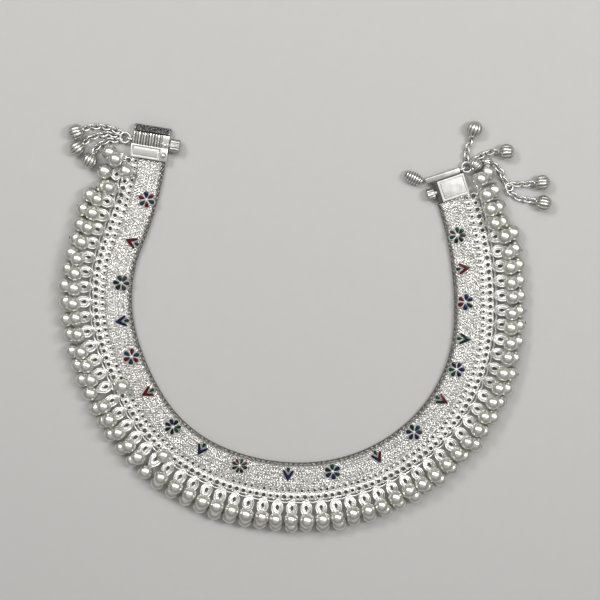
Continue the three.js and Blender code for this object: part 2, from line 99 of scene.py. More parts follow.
# Clasps and tassels, as the solids have them, in millimetres
SEAT_GAP = 0.3
LEFT_BOX = {"inner": -0.5, "outer": 10.5, "length": 7.7, "height": 3.5, "plate": 3.9}
PLAIN_END = 2.0  # of the left box, beside its flutes and its panel
END_SLAB_LENGTH = 1.8
BARREL_FLUTES = 11
LEFT_KNOB = {"radius": 2.1, "length": 3.0, "along": 5.3, "flutes": 14, "knurl": 0.05}
RIGHT_BOX = {"inner": 0.3, "outer": 9.8, "length": 6.4, "height": 3.5}
RIGHT_KNOB = {"radius": 1.85, "length": 2.4, "along": 3.5, "flutes": 14, "knurl": 0.035}
END_BAR = {"radius": 0.85, "inner": -1.7, "outer": 9.2, "height": 2.2}
END_BAR_ALONG = RIGHT_BOX["length"] + 2 * SEAT_GAP + END_BAR["radius"]
BEEHIVE = {"length": 5.8, "radius": 1.9, "neck": 0.65, "yaw": 45}
EYE_RADIUS = 1.15
EYE_WIRE = 0.36
EYE_SINK = 0.3
RING_RADIUS = 1.5
LEFT_EYE_ALONG = 5.4
EYE_HEIGHT = 1.5
TASSEL_REACH = 20
TASSEL_BELL_RADIUS = 2.35
TASSEL_FLUTES = 12

# Each tassel: where its chain leaves the jump ring in degrees, the points that the chain passes
# and its bell's place, as shares of the reach along and outwards from the ring's middle
LEFT_TASSELS = (
    (52, ((0.105, 0.28), (0.08, 0.51)), (-0.03, 0.73)),
    (2, ((0.01, 0.28), (-0.085, 0.5)), (-0.265, 0.68)),
    (-48, ((-0.085, 0.25), (-0.21, 0.395)), (-0.42, 0.47)),
)
RIGHT_TASSELS = (
    (76, ((0.23, 0.075), (0.36, 0.17)), (0.51, 0.28)),
    (22, ((0.085, 0.23), (0.095, 0.42)), (0.035, 0.63)),
    (-34, ((-0.02, 0.3), (-0.19, 0.45), (-0.42, 0.495), (-0.515, 0.72)), (-0.58, 1)),
)
BRANCH_TASSEL = (((-0.545, 0.485), (-0.695, 0.6)), (-0.88, 0.93))
BRANCH_RING = {"place": (-0.49, 0.515), "radius": 1.15, "wire": 0.28, "up": 1.3, "lean": 14}
# Two small bells that lie on a chain beside the right ring: along, outwards, up and radius
LOOSE_BELLS_ON = "right_tassel_3"
LOOSE_BELLS = ((0.15, 2.6, 3.75, 1.85), (-0.3, 6.2, 2.75, 1.5))

# Each flower: its first petal's heading in degrees, then its enamels petal by petal,
# counter-clockwise from that petal
FLOWERS = (
    (95, "NRTRTR"),
    (113, "GDDMGM"),
    (85, "RTRTRT"),
    (105, "NDDDGDD"),
    (112, "RDDGDDRG"),
    (95, "GDNNGN"),
    (115, "DNNNMT"),
    (115, "DGGNNN"),
    (85, "NRRNDN"),
    (100, "GMGDDMG"),
)
# Enamel on each chevron: its two arms, then its leaf
CHEVRONS = ("RRT", "NNG", "RRG", "NNG", "NNG", "RNG", "RDG", "DDG", "RRG")
MOTIF_FROM_RIM = 3.1 * MM
# Enamel cells, in millimetres
CELL_WALL = 0.14
CHEVRON_WALL = 0.06
PETAL_WIDTHS = {6: 1.95, 7: 1.75, 8: 1.5}  # by the number of petals
CHEVRON_ARM = (
    (2.45, 0.0), (1.6, 0.56), (0.2, 1.33), (-0.85, 1.85), (-1.35, 1.8), (-1.45, 1.15), (-0.7, 0.58),
)
CHEVRON_INNER_CORNER = (0.1, 0.0)
# Flowers and chevrons take turns along the band, at these shares of its length
MOTIF_PLACES = (
    0.052, 0.112, 0.164, 0.211, 0.257, 0.307, 0.36, 0.405, 0.457, 0.519,
    0.575, 0.634, 0.689, 0.742, 0.784, 0.823, 0.87, 0.913, 0.956,
)

# The photograph's view
VIEW_TARGET = Vector((-1.24, 9.5, 1.5)) * MM
VIEW_DISTANCE = 450 * MM
VIEW_TILT = math.radians(10)
VIEW_LENS = 88.5


class Rim:
    """The band's inner rim, and the places that are counted from it."""

    def __init__(self):
        rows = []
        s, x, y, heading = 0.0, 0.0, 0.0, START_HEADING
        for share, turn in LAY:
            length = share * BAND_LENGTH
            bend = math.radians(turn) / length
            rows.append((s, x, y, heading, bend, length))
            end = heading + bend * length
            x += (math.sin(end) - math.sin(heading)) / bend
            y -= (math.cos(end) - math.cos(heading)) / bend
            heading = end
            s += length
        self.arcs = np.array(rows)
        self.shift = np.zeros(2)
        stations = np.linspace(0, BAND_LENGTH, BAND_STEPS + 1)
        outline = np.concatenate([self.place(stations, 0, 0), self.place(stations, NET_EDGE, 0)])
        self.shift = np.array(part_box("mesh_band")[0])[:2] - outline.min(axis=0)[:2]

    def walk(self, s):
        inside = np.clip(s, 0, BAND_LENGTH)
        row = np.searchsorted(self.arcs[:, 0], inside, side="right") - 1
        start, x, y, first, bend, _ = np.moveaxis(self.arcs[np.clip(row, 0, None)], -1, 0)
        heading = first + bend * (inside - start)
        x = x + (np.sin(heading) - np.sin(first)) / bend + (s - inside) * np.cos(heading)
        y = y - (np.cos(heading) - np.cos(first)) / bend + (s - inside) * np.sin(heading)
        return x, y, heading

    def place(self, s, out, up):
        s, out, up = np.broadcast_arrays(*(np.asarray(value, float) for value in (s, out, up)))
        x, y, heading = self.walk(s)
        x = x + out * np.sin(heading) + self.shift[0]
        y = y - out * np.cos(heading) + self.shift[1]
        return np.stack([x, y, up], axis=-1)

    def stand(self, s, out, up):
        """A matrix at a place, with its X outwards and its Y along the rim."""
        _, _, heading = self.walk(np.asarray(float(s)))
        turn = Matrix.Rotation(float(heading) - math.pi / 2, 4, "Z")
        return Matrix.Translation(Vector(self.place(s, out, up))) @ turn

    def length_at(self, out):
        return float(sum(length + bend * length * out for *_, bend, length in self.arcs))

    def station_at(self, distance, out):
        """The rim station beside a point at a distance along the line at offset out."""
        left = distance
        for start, _, _, _, bend, length in self.arcs:
            offset = length + bend * length * out
            if left <= offset or start == self.arcs[-1, 0]:
                on_arc = min(max(left, 0), offset)
                return float(start + on_arc / offset * length + (left - on_arc))
            left -= offset
        return BAND_LENGTH

    def stations(self, pitch, out, first, last):
        """Stations evenly spread between two margins of the line at offset out."""
        length = self.length_at(out) - first - last
        count = max(2, round(length / pitch))
        return [self.station_at(first + length * i / (count - 1), out) for i in range(count)]


rim = Rim()


# Modelling by hand


def start_afresh():
    if bpy.context.mode != "OBJECT":
        bpy.ops.object.mode_set(mode="OBJECT")
    bpy.ops.object.select_all(action="DESELECT")


def named(name):
    piece = bpy.context.object
    piece.name = name
    piece.data.name = name
    return piece


def only(piece):
    start_afresh()
    piece.select_set(True)
    bpy.context.view_layer.objects.active = piece


def edit(piece):
    only(piece)
    bpy.ops.object.mode_set(mode="EDIT")


def done():
    bpy.ops.object.mode_set(mode="OBJECT")


def pick_faces(piece, wanted):
    """Selects in edit mode the faces that a test on each one's middle and normal wants."""
    edit(piece)
    bpy.ops.mesh.select_mode(type="FACE")
    bpy.ops.mesh.select_all(action="DESELECT")
    shape = bmesh.from_edit_mesh(piece.data)
    for face in shape.faces:
        face.select_set(bool(wanted(face.calc_center_median(), face.normal)))
    bmesh.update_edit_mesh(piece.data)


def pick_edges(piece, wanted):
    edit(piece)
    bpy.ops.mesh.select_mode(type="EDGE")
    bpy.ops.mesh.select_all(action="DESELECT")
    shape = bmesh.from_edit_mesh(piece.data)
    for edge in shape.edges:
        a, b = (vertex.co for vertex in edge.verts)
        edge.select_set(bool(wanted(a, b)))
    bmesh.update_edit_mesh(piece.data)


def reshape(piece, move):
    """Moves every point of a piece to where a rule sends it."""
    for vertex in piece.data.vertices:
        vertex.co = move(vertex.co.copy())
    piece.data.update()


def finish_with(piece, kind, **settings):
    only(piece)
    modifier = piece.modifiers.new(kind.title(), kind)
    for setting, value in settings.items():
        setattr(modifier, setting, value)
    bpy.ops.object.modifier_apply(modifier=modifier.name)


def smooth(piece, angle=60):
    only(piece)
    bpy.ops.object.shade_smooth_by_angle(angle=math.radians(angle))
    return piece


def rounded(piece, width, segments, angle):
    limits = {"limit_method": "ANGLE", "angle_limit": math.radians(angle)}
    finish_with(piece, "BEVEL", width=width, segments=segments, **limits)
    return smooth(piece, 40)


def faced_outwards(piece):
    """Turns the faces of a closed shape outwards."""
    edit(piece)
    bpy.ops.mesh.select_all(action="SELECT")
    bpy.ops.mesh.normals_make_consistent(inside=False)
    done()
    return piece


def stepped(*steps):
    """Insets the picked faces again and again, each time by a width and a depth."""
    for width, depth in steps:
        bpy.ops.mesh.inset(thickness=width, depth=depth)


def block(name, low, high):
    start_afresh()
    middle = [(a + b) / 2 for a, b in zip(low, high)]
    size = [b - a for a, b in zip(low, high)]
    bpy.ops.mesh.primitive_cube_add(size=1, location=middle, scale=size)
    piece = named(name)
    bpy.ops.object.transform_apply(location=True, rotation=True, scale=True)
    return piece


def ball(name, radius, segments, rings):
    start_afresh()
    bpy.ops.mesh.primitive_uv_sphere_add(radius=radius, segments=segments, ring_count=rings)
    piece = named(name)
    bpy.ops.object.shade_smooth()
    return piece


def hoop(name, radius, thickness, around, across):
    start_afresh()
    bpy.ops.mesh.primitive_torus_add(
        major_radius=radius, minor_radius=thickness, major_segments=around, minor_segments=across
    )
    piece = named(name)
    bpy.ops.object.shade_smooth()
    return piece


def turned(name, profile, sides):
    """A closed turned shape about Z, drawn up from its first radius and height to its last."""
    start_afresh()
    radius, height = profile[0]
    bpy.ops.mesh.primitive_circle_add(
        vertices=sides, radius=radius, fill_type="NGON", location=(0, 0, height)
    )
    piece = named(name)
    bpy.ops.object.transform_apply(location=True, rotation=True, scale=True)
    edit(piece)
    bpy.ops.mesh.select_all(action="SELECT")
    for next_radius, next_height in profile[1:]:
        bpy.ops.mesh.extrude_region_move(
            TRANSFORM_OT_translate={"value": (0, 0, next_height - height)}
        )
        share = next_radius / radius
        bpy.ops.transform.resize(value=(share, share, 1), center_override=(0, 0, next_height))
        radius, height = next_radius, next_height
    done()
    return smooth(faced_outwards(piece), 50)


def wire(name, points, thickness, closed, detail):
    """A round wire through points, made a mesh."""
    start_afresh()
    curve = bpy.data.curves.new(name, "CURVE")
    curve.dimensions = "3D"
    curve.bevel_depth = thickness
    curve.bevel_resolution = detail
    curve.use_fill_caps = not closed
    spline = curve.splines.new("POLY")
    spline.points.add(len(points) - 1)
    for knot, point in zip(spline.points, points):
        knot.co = (*point, 1)
    spline.use_cyclic_u = closed
    piece = bpy.data.objects.new(name, curve)
    bpy.context.collection.objects.link(piece)
    only(piece)
    bpy.ops.object.convert(target="MESH")
    piece = named(name)
    bpy.ops.object.shade_smooth()
    return piece


def joined(name, *pieces):
    start_afresh()
    for piece in pieces:
        piece.select_set(True)
    bpy.context.view_layer.objects.active = pieces[0]
    bpy.ops.object.join()
    return named(name)


def dress(piece, *materials):
    """Gives a piece its materials, and keeps the one that each face has picked by number."""
    slots = piece.data.materials
    for number, material in enumerate(materials):
        if number < len(slots):
            slots[number] = material
        else:
            slots.append(material)
    return piece


def turn(axis, degrees):
    return Matrix.Rotation(math.radians(degrees), 4, axis)


def shift(x, y, z):
    return Matrix.Translation((x, y, z))


class Pattern:
    """A small shape that is modelled once and copied many times."""

    def __init__(self, piece, slot=0):
        mesh = piece.data
        self.points = np.empty(3 * len(mesh.vertices))
        mesh.vertices.foreach_get("co", self.points)
        self.points = self.points.reshape(-1, 3)
        self.corners = np.empty(len(mesh.loops), np.int32)
        mesh.loops.foreach_get("vertex_index", self.corners)
        self.sizes = np.empty(len(mesh.polygons), np.int32)
        mesh.polygons.foreach_get("loop_total", self.sizes)
        self.slots = np.empty(len(mesh.polygons), np.int32)
        mesh.polygons.foreach_get("material_index", self.slots)
        self.slots += slot
        self.smooth = np.empty(len(mesh.polygons), bool)
        mesh.polygons.foreach_get("use_smooth", self.smooth)
        bpy.data.objects.remove(piece)

    def stood(self, matrices):
        """The points of one rigid copy for each matrix."""
        turns = np.array([matrix.to_3x3() for matrix in matrices])
        places = np.array([matrix.translation for matrix in matrices])
        return np.einsum("nij,vj->nvi", turns, self.points) + places[:, None, :]

    def bent(self, spans, out):
        """The points of copies that follow the rim, Y running from a span's start to its end."""
        spans = np.array(spans)
        share = self.points[:, 1]
        s = spans[:, :1] + share * (spans[:, 1:] - spans[:, :1])
        return rim.place(s, out + self.points[:, 0], self.points[:, 2])


def copied(name, batches, materials):
    """One mesh piece made of all the placed copies of its patterns."""
    points, corners, sizes, slots, shading = [], [], [], [], []
    base = 0
    for pattern, placed in batches:
        count, each, _ = placed.shape
        points.append(placed.reshape(-1, 3))
        corners.append((base + each * np.arange(count)[:, None] + pattern.corners).ravel())
        sizes.append(np.tile(pattern.sizes, count))
        slots.append(np.tile(pattern.slots, count))
        shading.append(np.tile(pattern.smooth, count))
        base += count * each
    corners, sizes = np.concatenate(corners), np.concatenate(sizes)
    mesh = bpy.data.meshes.new(name)
    mesh.vertices.add(base)
    mesh.vertices.foreach_set("co", np.concatenate(points).ravel())
    mesh.loops.add(len(corners))
    mesh.loops.foreach_set("vertex_index", corners.astype(np.int32))
    mesh.polygons.add(len(sizes))
    starts = np.concatenate([[0], np.cumsum(sizes)[:-1]])
    mesh.polygons.foreach_set("loop_start", starts.astype(np.int32))
    mesh.polygons.foreach_set("material_index", np.concatenate(slots))
    mesh.polygons.foreach_set("use_smooth", np.concatenate(shading))
    mesh.update(calc_edges=True)
    mesh.validate()
    piece = bpy.data.objects.new(name, mesh)
    bpy.context.collection.objects.link(piece)
    return dress(piece, *materials)


def on_body(piece, body, slot, *nodes):
    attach(piece, body)
    if nodes:
        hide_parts(*nodes)
    return piece


# Materials

BAR_TILT = math.radians(18.7)  # of the right clasp's bar


class Value:
    """A shader socket that takes Python arithmetic, each operation adding its node."""

    def __init__(self, nodes, socket):
        self.nodes = nodes
        self.socket = socket

    def maths(self, operation, *values, clamp=False):
        settings = {"operation": operation, "use_clamp": clamp}
        return self.nodes.node("Math", settings, dict(enumerate(values)))

    def __add__(self, other):
        return self.maths("ADD", self, other)

    def __sub__(self, other):
        return self.maths("SUBTRACT", self, other)

    def __rsub__(self, other):
        return self.maths("SUBTRACT", other, self)

    def __mul__(self, other):
        return self.maths("MULTIPLY", self, other)

    __radd__ = __add__
    __rmul__ = __mul__

    def clamped(self, low, high):
        """0 at low, 1 at high, and clamped between them."""
        return self.maths("MULTIPLY", self - low, 1 / (high - low), clamp=True)


class Nodes:
    """A node tree whose nodes all come from one method."""

    def __init__(self, tree):
        self.tree = tree

    def node(self, kind, settings=None, inputs=None, output=0):
        made = self.tree.nodes.new("ShaderNode" + kind)
        for setting, value in (settings or {}).items():
            if setting == "stops":
                self.set_stops(made.color_ramp, value)
            else:
                setattr(made, setting, value)
        for socket, value in (inputs or {}).items():
            if isinstance(value, Value):
                self.tree.links.new(value.socket, made.inputs[socket])
            else:
                made.inputs[socket].default_value = value
        return Value(self, made.outputs[output])

    def set_stops(self, ramp, stops):
        for element, (position, colour) in zip(ramp.elements, stops):
            element.position = position
            element.color = (*colour, 1)


class Finish(Nodes):
    """A node material on one Principled shader."""

    def __init__(self, name, **constants):
        self.material = bpy.data.materials.new(name)
        self.material.use_nodes = True
        super().__init__(self.material.node_tree)
        self.tree.nodes.clear()
        surface = self.tree.nodes.new("ShaderNodeOutputMaterial").inputs["Surface"]
        self.shader = self.tree.nodes.new("ShaderNodeBsdfPrincipled")
        self.tree.links.new(self.shader.outputs[0], surface)
        for socket, value in constants.items():
            self.shader.inputs[socket.replace("_", " ")].default_value = value

    def place(self):
        return self.node("TexCoord", output="Object")

    def height(self):
        return self.node("SeparateXYZ", {}, {0: self.place()}, output="Z")

    def noise(self, size, detail, stretch=(1, 1, 1), turn_by=0.0):
        """A noise whose patches are about a size across, in metres."""
        mapping = {"Vector": self.place(), "Scale": stretch, "Rotation": (0, 0, turn_by)}
        vector = self.node("Mapping", {}, mapping)
        return self.node("TexNoise", {}, {"Vector": vector, "Scale": 1 / size, "Detail": detail})

    def grains(self, size):
        """Distance from the middles of cells about a size across."""
        return self.node("TexVoronoi", {}, {"Vector": self.place(), "Scale": 1 / size})

    def mix(self, factor, low, high):
        """A blend of two colours; a Mix node's colours are its inputs 6 and 7 and its output 2."""
        inputs = {0: factor, 6: (*low, 1), 7: (*high, 1)}
        return self.node("Mix", {"data_type": "RGBA"}, inputs, 2)

    def feed(self, **sockets):
        for socket, value in sockets.items():
            self.tree.links.new(value.socket, self.shader.inputs[socket.replace("_", " ")])
        return self

    def bump(self, height, depth, strength):
        inputs = {"Strength": strength, "Distance": depth, "Height": height}
        return self.feed(Normal=self.node("Bump", {}, inputs))


def silver_finish(name, bright, dark, gloss, painted_shade_heights=None, patch=2.5):
    """Silver that is tarnished in patches, with painted shade that darkens it low down and leaves
    its tops bright.
    """
    finish = Finish(name, Metallic=1.0)
    stain = finish.noise(patch * MM, 4).clamped(0.35, 0.75)
    stain_and_shade = stain * 0.35
    # Painted shade: between the given heights the colour darkens towards the bottom, as shade would
    # darken it.
    if painted_shade_heights:
        low, high = painted_shade_heights
        depth = 1 - finish.height().clamped(low * MM, high * MM)
        stain_and_shade = stain_and_shade.maths("MAXIMUM", stain_and_shade, depth)
    finish.feed(Base_Color=finish.mix(stain_and_shade, bright, dark))
    fine = finish.noise(0.35 * MM, 2)
    finish.feed(Roughness=gloss + fine * 0.12 + stain * 0.1)
    return finish.bump(finish.noise(0.25 * MM, 3), 0.02 * MM, 0.3).material


def bell_finish(name, bright, dark):
    """Smooth beaten silver with soft dents, tarnished in patches and darkened low down by painted
    shade.
    """
    finish = Finish(name, Metallic=1.0)
    stain = finish.noise(1.8 * MM, 4).clamped(0.4, 0.75)
    # Painted shade: the bell's colour darkens towards the bottom, below the height of its top.
    low = 1 - finish.height().clamped(0.6 * MM, 3.8 * MM)
    stain_and_shade = stain.maths("MAXIMUM", stain * 0.3, low * 0.9)
    finish.feed(Base_Color=finish.mix(stain_and_shade, bright, dark))
    finish.feed(Roughness=0.3 + stain * 0.12)
    return finish.bump(finish.noise(1.1 * MM, 2), 0.05 * MM, 0.35).material


def brushed_finish(name, bright, dark, heading):
    """Silver with fine lines drawn along a heading."""
    finish = Finish(name, Metallic=1.0)
    lines = finish.noise(0.12 * MM, 3, (0.06, 1, 1), heading)
    stain = finish.noise(1.8 * MM, 3).clamped(0.35, 0.75)
    finish.feed(Base_Color=finish.mix(stain * 0.4, bright, dark))
    finish.feed(Roughness=0.22 + lines * 0.25)
    return finish.bump(lines, 0.02 * MM, 0.6).material


def frosted_finish(name, bright, dark):
    """Silver with a fine blasted grain."""
    finish = Finish(name, Metallic=1.0)
    grain = finish.grains(0.22 * MM)
    stain = finish.noise(2.0 * MM, 3).clamped(0.3, 0.8)
    finish.feed(Base_Color=finish.mix(stain * 0.5, bright, dark))
    strokes = finish.noise(0.4 * MM, 4, (1, 0.3, 1), BAR_TILT)
    finish.feed(Roughness=0.5 + grain * 0.15)
    return finish.bump(grain * 0.5 + strokes, 0.09 * MM, 0.8).material


def oxidised_finish(name, dark, worn):
    """Blackened silver, rubbed bright on its grains."""
    finish = Finish(name, Metallic=1.0)
    high = finish.height().clamped(1.6 * MM, 3.1 * MM)
    rubbed = high * finish.noise(0.5 * MM, 3).clamped(0.35, 0.7)
    finish.feed(Base_Color=finish.mix(rubbed, dark, worn))
    finish.feed(Roughness=0.5 - rubbed * 0.2)
    return finish.bump(finish.grains(0.3 * MM), 0.05 * MM, 0.6).material


def enamel_finish(name, colour):
    """Glassy enamel, a little cloudy, with a clear coat."""
    finish = Finish(name, Coat_Weight=0.1, Coat_Roughness=0.06, Specular_IOR_Level=0.22)
    cloud = finish.noise(0.5 * MM, 3).clamped(0.35, 0.7)
    paler = tuple(min(1.0, channel * 1.5 + 0.004) for channel in colour)
    finish.feed(Base_Color=finish.mix(cloud * 0.6, colour, paler))
    finish.feed(Roughness=0.16 + cloud * 0.12)
    return finish.bump(finish.noise(0.4 * MM, 2), 0.015 * MM, 0.4).material


def floor_finish(name, colour):
    finish = Finish(name, Specular_IOR_Level=0.2)
    paper = finish.noise(4 * MM, 4)
    darker = tuple(channel * 0.965 for channel in colour)
    finish.feed(Base_Color=finish.mix(paper, colour, darker))
    finish.feed(Roughness=0.75 + paper * 0.1)
    return finish.material


class Finishes:
    """The materials, made when they are first asked for."""

    made = {}

    @classmethod
    def get(cls, name):
        if name not in cls.made:
            maker, *values = cls.recipe(name)
            cls.made[name] = maker(name, *values)
        return cls.made[name]

    @staticmethod
    def recipe(name):
        """A material's maker, then the colours and the gloss that it is given, and the heights
        below which painted shade darkens it.
        """
        colours = bpy.context.scene.payal_colours
        if name.startswith("enamel_"):
            return enamel_finish, tuple(getattr(colours, name.removeprefix("enamel_")))
        bright, dark, warm = (
            tuple(colour) for colour in (colours.silver, colours.tarnish_and_shade, colours.bell_silver)
        )
        plain = tuple(channel * 0.84 for channel in bright)
        # The pair of heights in a silver's entry sets where its painted shade darkens it towards
        # the bottom.
        return {
            "woven_silver": (silver_finish, bright, dark, 0.17, (2.05, 2.4), 3.0),
            # Painted shade: a dark silver that stands in for shade under the links, in valleys and
            # grooves and on a sloped side.
            "core_silver": (silver_finish, dark, (0.06, 0.055, 0.05), 0.42, (0.4, 2.0)),
            "rim_silver": (silver_finish, (0.46, 0.45, 0.43), dark, 0.22, (1.4, 2.5)),
            "net_silver": (silver_finish, bright, dark, 0.22, (1.1, 1.6), 2.0),
            "loop_silver": (silver_finish, bright, dark, 0.22, (1.0, 1.9), 2.0),
            "bell_silver": (bell_finish, warm, dark),
            "slot_shade": (silver_finish, (0.05, 0.045, 0.04), (0.02, 0.02, 0.02), 0.6),
            "fluted_silver": (silver_finish, bright, dark, 0.2, (3.0, 3.4), 1.6),
            "clasp_silver": (silver_finish, plain, dark, 0.26, (0.0, 1.6), 1.6),
            "knob_silver": (silver_finish, (0.58, 0.57, 0.55), dark, 0.34, (1.0, 3.6)),
            "bar_silver": (brushed_finish, (0.6, 0.59, 0.57), dark, -BAR_TILT),
            "frosted_silver": (frosted_finish, (0.72, 0.715, 0.695), dark),
            "oxidised_silver": (oxidised_finish, (0.07, 0.07, 0.068), (0.5, 0.49, 0.47)),
        }[name]


ENAMEL_NAMES = {
    "N": "enamel_navy",
    "G": "enamel_green",
    "D": "enamel_dark_green",
    "T": "enamel_teal",
    "R": "enamel_red",
    "M": "enamel_mauve",
}


# Settings


class PayalColours(bpy.types.PropertyGroup):
    """The colours of the metals and enamels"""

    silver: FloatVectorProperty(
        name="Silver", description="Clean silver", subtype="COLOR", default=(0.93, 0.92, 0.89)
    )
    bell_silver: FloatVectorProperty(
        name="Bell silver", description="Silver of the bells", subtype="COLOR",
        default=(0.83, 0.82, 0.765),
    )
    # The colour of tarnish in patches, and the colour that painted shade darkens silver towards,
    # low down and in its recesses.
    tarnish_and_shade: FloatVectorProperty(
        name="Tarnish", description="Silver in its recesses", subtype="COLOR",
        default=(0.3, 0.285, 0.26),
    )
    navy: FloatVectorProperty(
        name="Navy", description="Blue enamel", subtype="COLOR", default=(0.004, 0.007, 0.036)
    )
    green: FloatVectorProperty(
        name="Green", description="Green enamel", subtype="COLOR", default=(0.003, 0.03, 0.016)
    )
    dark_green: FloatVectorProperty(
        name="Dark green", description="Black-green enamel", subtype="COLOR",
        default=(0.002, 0.009, 0.008),
    )
    teal: FloatVectorProperty(
        name="Teal", description="Teal enamel", subtype="COLOR", default=(0.002, 0.024, 0.036)
    )
    red: FloatVectorProperty(
        name="Red", description="Maroon enamel", subtype="COLOR", default=(0.06, 0.003, 0.005)
    )
    mauve: FloatVectorProperty(
        name="Mauve", description="Mauve enamel", subtype="COLOR", default=(0.035, 0.022, 0.034)
    )


class PayalWeave(bpy.types.PropertyGroup):
    """The links of the woven band and the rings of the net"""

    link_pitch: FloatProperty(
        name="Link pitch", description="From link to link", unit="LENGTH", default=0.92 * MM
    )
    link_wire: FloatProperty(
        name="Link wire", description="Radius of a link's wire", unit="LENGTH", default=0.17 * MM
    )
    lean: FloatProperty(
        name="Lean", description="How far a link stands up", subtype="ANGLE",
        default=math.radians(24),
    )
    net_pitch: FloatProperty(
        name="Net pitch", description="From hole to hole", unit="LENGTH", default=2.15 * MM
    )


class PayalFringe(bpy.types.PropertyGroup):
    """The drops of the fringe"""

    front_bell: FloatProperty(
        name="Front bell", description="Radius of the upper bells", unit="LENGTH", default=2.26 * MM
    )
    back_bell: FloatProperty(
        name="Back bell", description="Radius of the lower bells", unit="LENGTH", default=2.36 * MM
    )
    spread: FloatProperty(
        name="Spread", description="How far bells lie off their place", unit="LENGTH",
        default=0.35 * MM,
    )
    bell_sides: IntProperty(name="Bell sides", description="Faces round a bell", default=24, min=8)


class PayalStudio(bpy.types.PropertyGroup):
    """The floor and lights"""

    floor: FloatVectorProperty(
        name="Floor", description="Colour of the floor", subtype="COLOR",
        default=(0.47, 0.465, 0.455),
    )
    key: FloatProperty(name="Overhead light", description="Main light", default=1.9, min=0)
    fill: FloatProperty(name="Side lights", description="Low lights", default=1.6, min=0)
    sky: FloatProperty(name="Ceiling", description="Brightness overhead", default=0.5, min=0)
    wall: FloatProperty(name="Walls", description="Brightness all round", default=0.1, min=0)


# Woven band


def strip_pattern(name, section):
    """A closed tube segment one unit long with a section of outwards and upwards places."""
    start_afresh()
    bpy.ops.mesh.primitive_circle_add(vertices=len(section), radius=1, fill_type="NOTHING")
    piece = named(name)
    for vertex, (out, up) in zip(piece.data.vertices, section):
        vertex.co = (out, 0, up)
    edit(piece)
    bpy.ops.mesh.select_all(action="SELECT")
    bpy.ops.mesh.extrude_region_move(TRANSFORM_OT_translate={"value": (0, 1, 0)})
    done()
    return Pattern(piece)


def spans_between(first, last, count):
    edges = np.linspace(first, last, count + 1)
    return list(zip(edges[:-1], edges[1:]))


def close_strip(piece):
    """Joins the segments of a strip and closes its two ends."""
    edit(piece)
    bpy.ops.mesh.select_all(action="SELECT")
    bpy.ops.mesh.remove_doubles(threshold=0.002 * MM)
    bpy.ops.mesh.select_all(action="DESELECT")
    bpy.ops.mesh.select_mode(type="EDGE")
    bpy.ops.mesh.select_non_manifold(
        extend=False, use_wire=False, use_boundary=True, use_multi_face=False,
        use_non_contiguous=False, use_verts=False,
    )
    bpy.ops.mesh.fill_holes(sides=0)
    done()
    return smooth(faced_outwards(piece), 30)


def model_core():
    segments = 170
    section = [
        (0.25, 0.0), (7.5, 0.0), (7.75, 0.4), (7.75, 1.85), (7.45, 2.15),
        (1.25, 2.15), (0.95, 2.05), (0.1, 1.1), (0.0, 0.9), (0.0, 0.25),
    ]
    pattern = strip_pattern("band_core", [(x * MM, z * MM) for x, z in section])
    spans = spans_between(0, BAND_LENGTH, segments)
    # The core's dark silver is painted shade for the gaps between the links above it.
    piece = copied("band_core", [(pattern, pattern.bent(spans, 0))], [Finishes.get("core_silver")])
    return close_strip(piece)


def model_link(radius, thickness, longer, around, across):
    piece = hoop("link", radius, thickness, around, across)
    reshape(piece, lambda co: Vector((co.x * longer, co.y, co.z)))
    return Pattern(piece)


def model_weave(settings):
    """Rows of small links that lean against each other in a herringbone."""
    draw = random.Random(7)
    link = model_link(0.3 * MM, settings.link_wire, 1.6, 10, 5)
    rows = 8
    first_out, last_out, up = 1.5 * MM, 7.3 * MM, 2.26 * MM
    margin = 0.45 * MM
    matrices = []
    for row in range(rows):
        out = first_out + (last_out - first_out) * row / (rows - 1)
        side = 1 if row % 2 else -1
        half = 0.5 * settings.link_pitch if row % 2 else 0.0
        for s in rim.stations(settings.link_pitch, out, margin + half, margin):
            yaw = side * (42 + draw.uniform(-12, 12))
            lean = math.degrees(settings.lean) * draw.choice((-1, 1)) + draw.uniform(-9, 9)
            sway = draw.uniform(-0.05, 0.05) * MM
            laid = rim.stand(s, out + sway, up) @ turn("Z", yaw) @ turn("X", lean)
            matrices.append(laid @ turn("Y", draw.uniform(-14, 14)))
    matrices.sort(key=lambda matrix: math.atan2(matrix.translation.x, -matrix.translation.y))
    half = len(matrices) // 2
    halves = (("weave_left", matrices[:half]), ("weave_right", matrices[half:]))
    silver = [Finishes.get("woven_silver")]
    return [copied(name, [(link, link.stood(share))], silver) for name, share in halves]


def model_edges():
    """Chains of links along the bevelled inner rim and up the outer side of the band."""
    draw = random.Random(11)
    link = model_link(0.42 * MM, 0.2 * MM, 1.5, 10, 5)
    matrices = []
    margin = 0.7 * MM
    # Each row: out from the rim, up and pitch in millimetres, and how far its links lean over
    rows = (
        (0.62, 1.82, 1.45, 56),
        (0.14, 1.0, 1.7, 82),
        (7.72, 1.75, 1.3, -78),
    )
    for out, up, pitch, lean in rows:
        for i, s in enumerate(rim.stations(pitch * MM, out * MM, margin, margin)):
            rock = 16 if i % 2 else -16
            stand = rim.stand(s, out * MM, up * MM)
            tip = turn("Y", -lean + draw.uniform(-5, 5))
            matrices.append(stand @ tip @ turn("Z", 90 + rock) @ turn("X", draw.uniform(-8, 8)))
    return copied("rim_links", [(link, link.stood(matrices))], [Finishes.get("rim_silver")])


class PAYAL_OT_band(bpy.types.Operator):
    """Model the woven band"""

    bl_idname = "payal.band"
    bl_label = "Woven band"

    def execute(self, context):
        settings = context.scene.payal_weave
        on_body(model_core(), "payal", "woven_silver", "mesh_band")
        for piece in (*model_weave(settings), model_edges()):
            on_body(piece, "payal", "woven_silver")
        return {"FINISHED"}


# Net


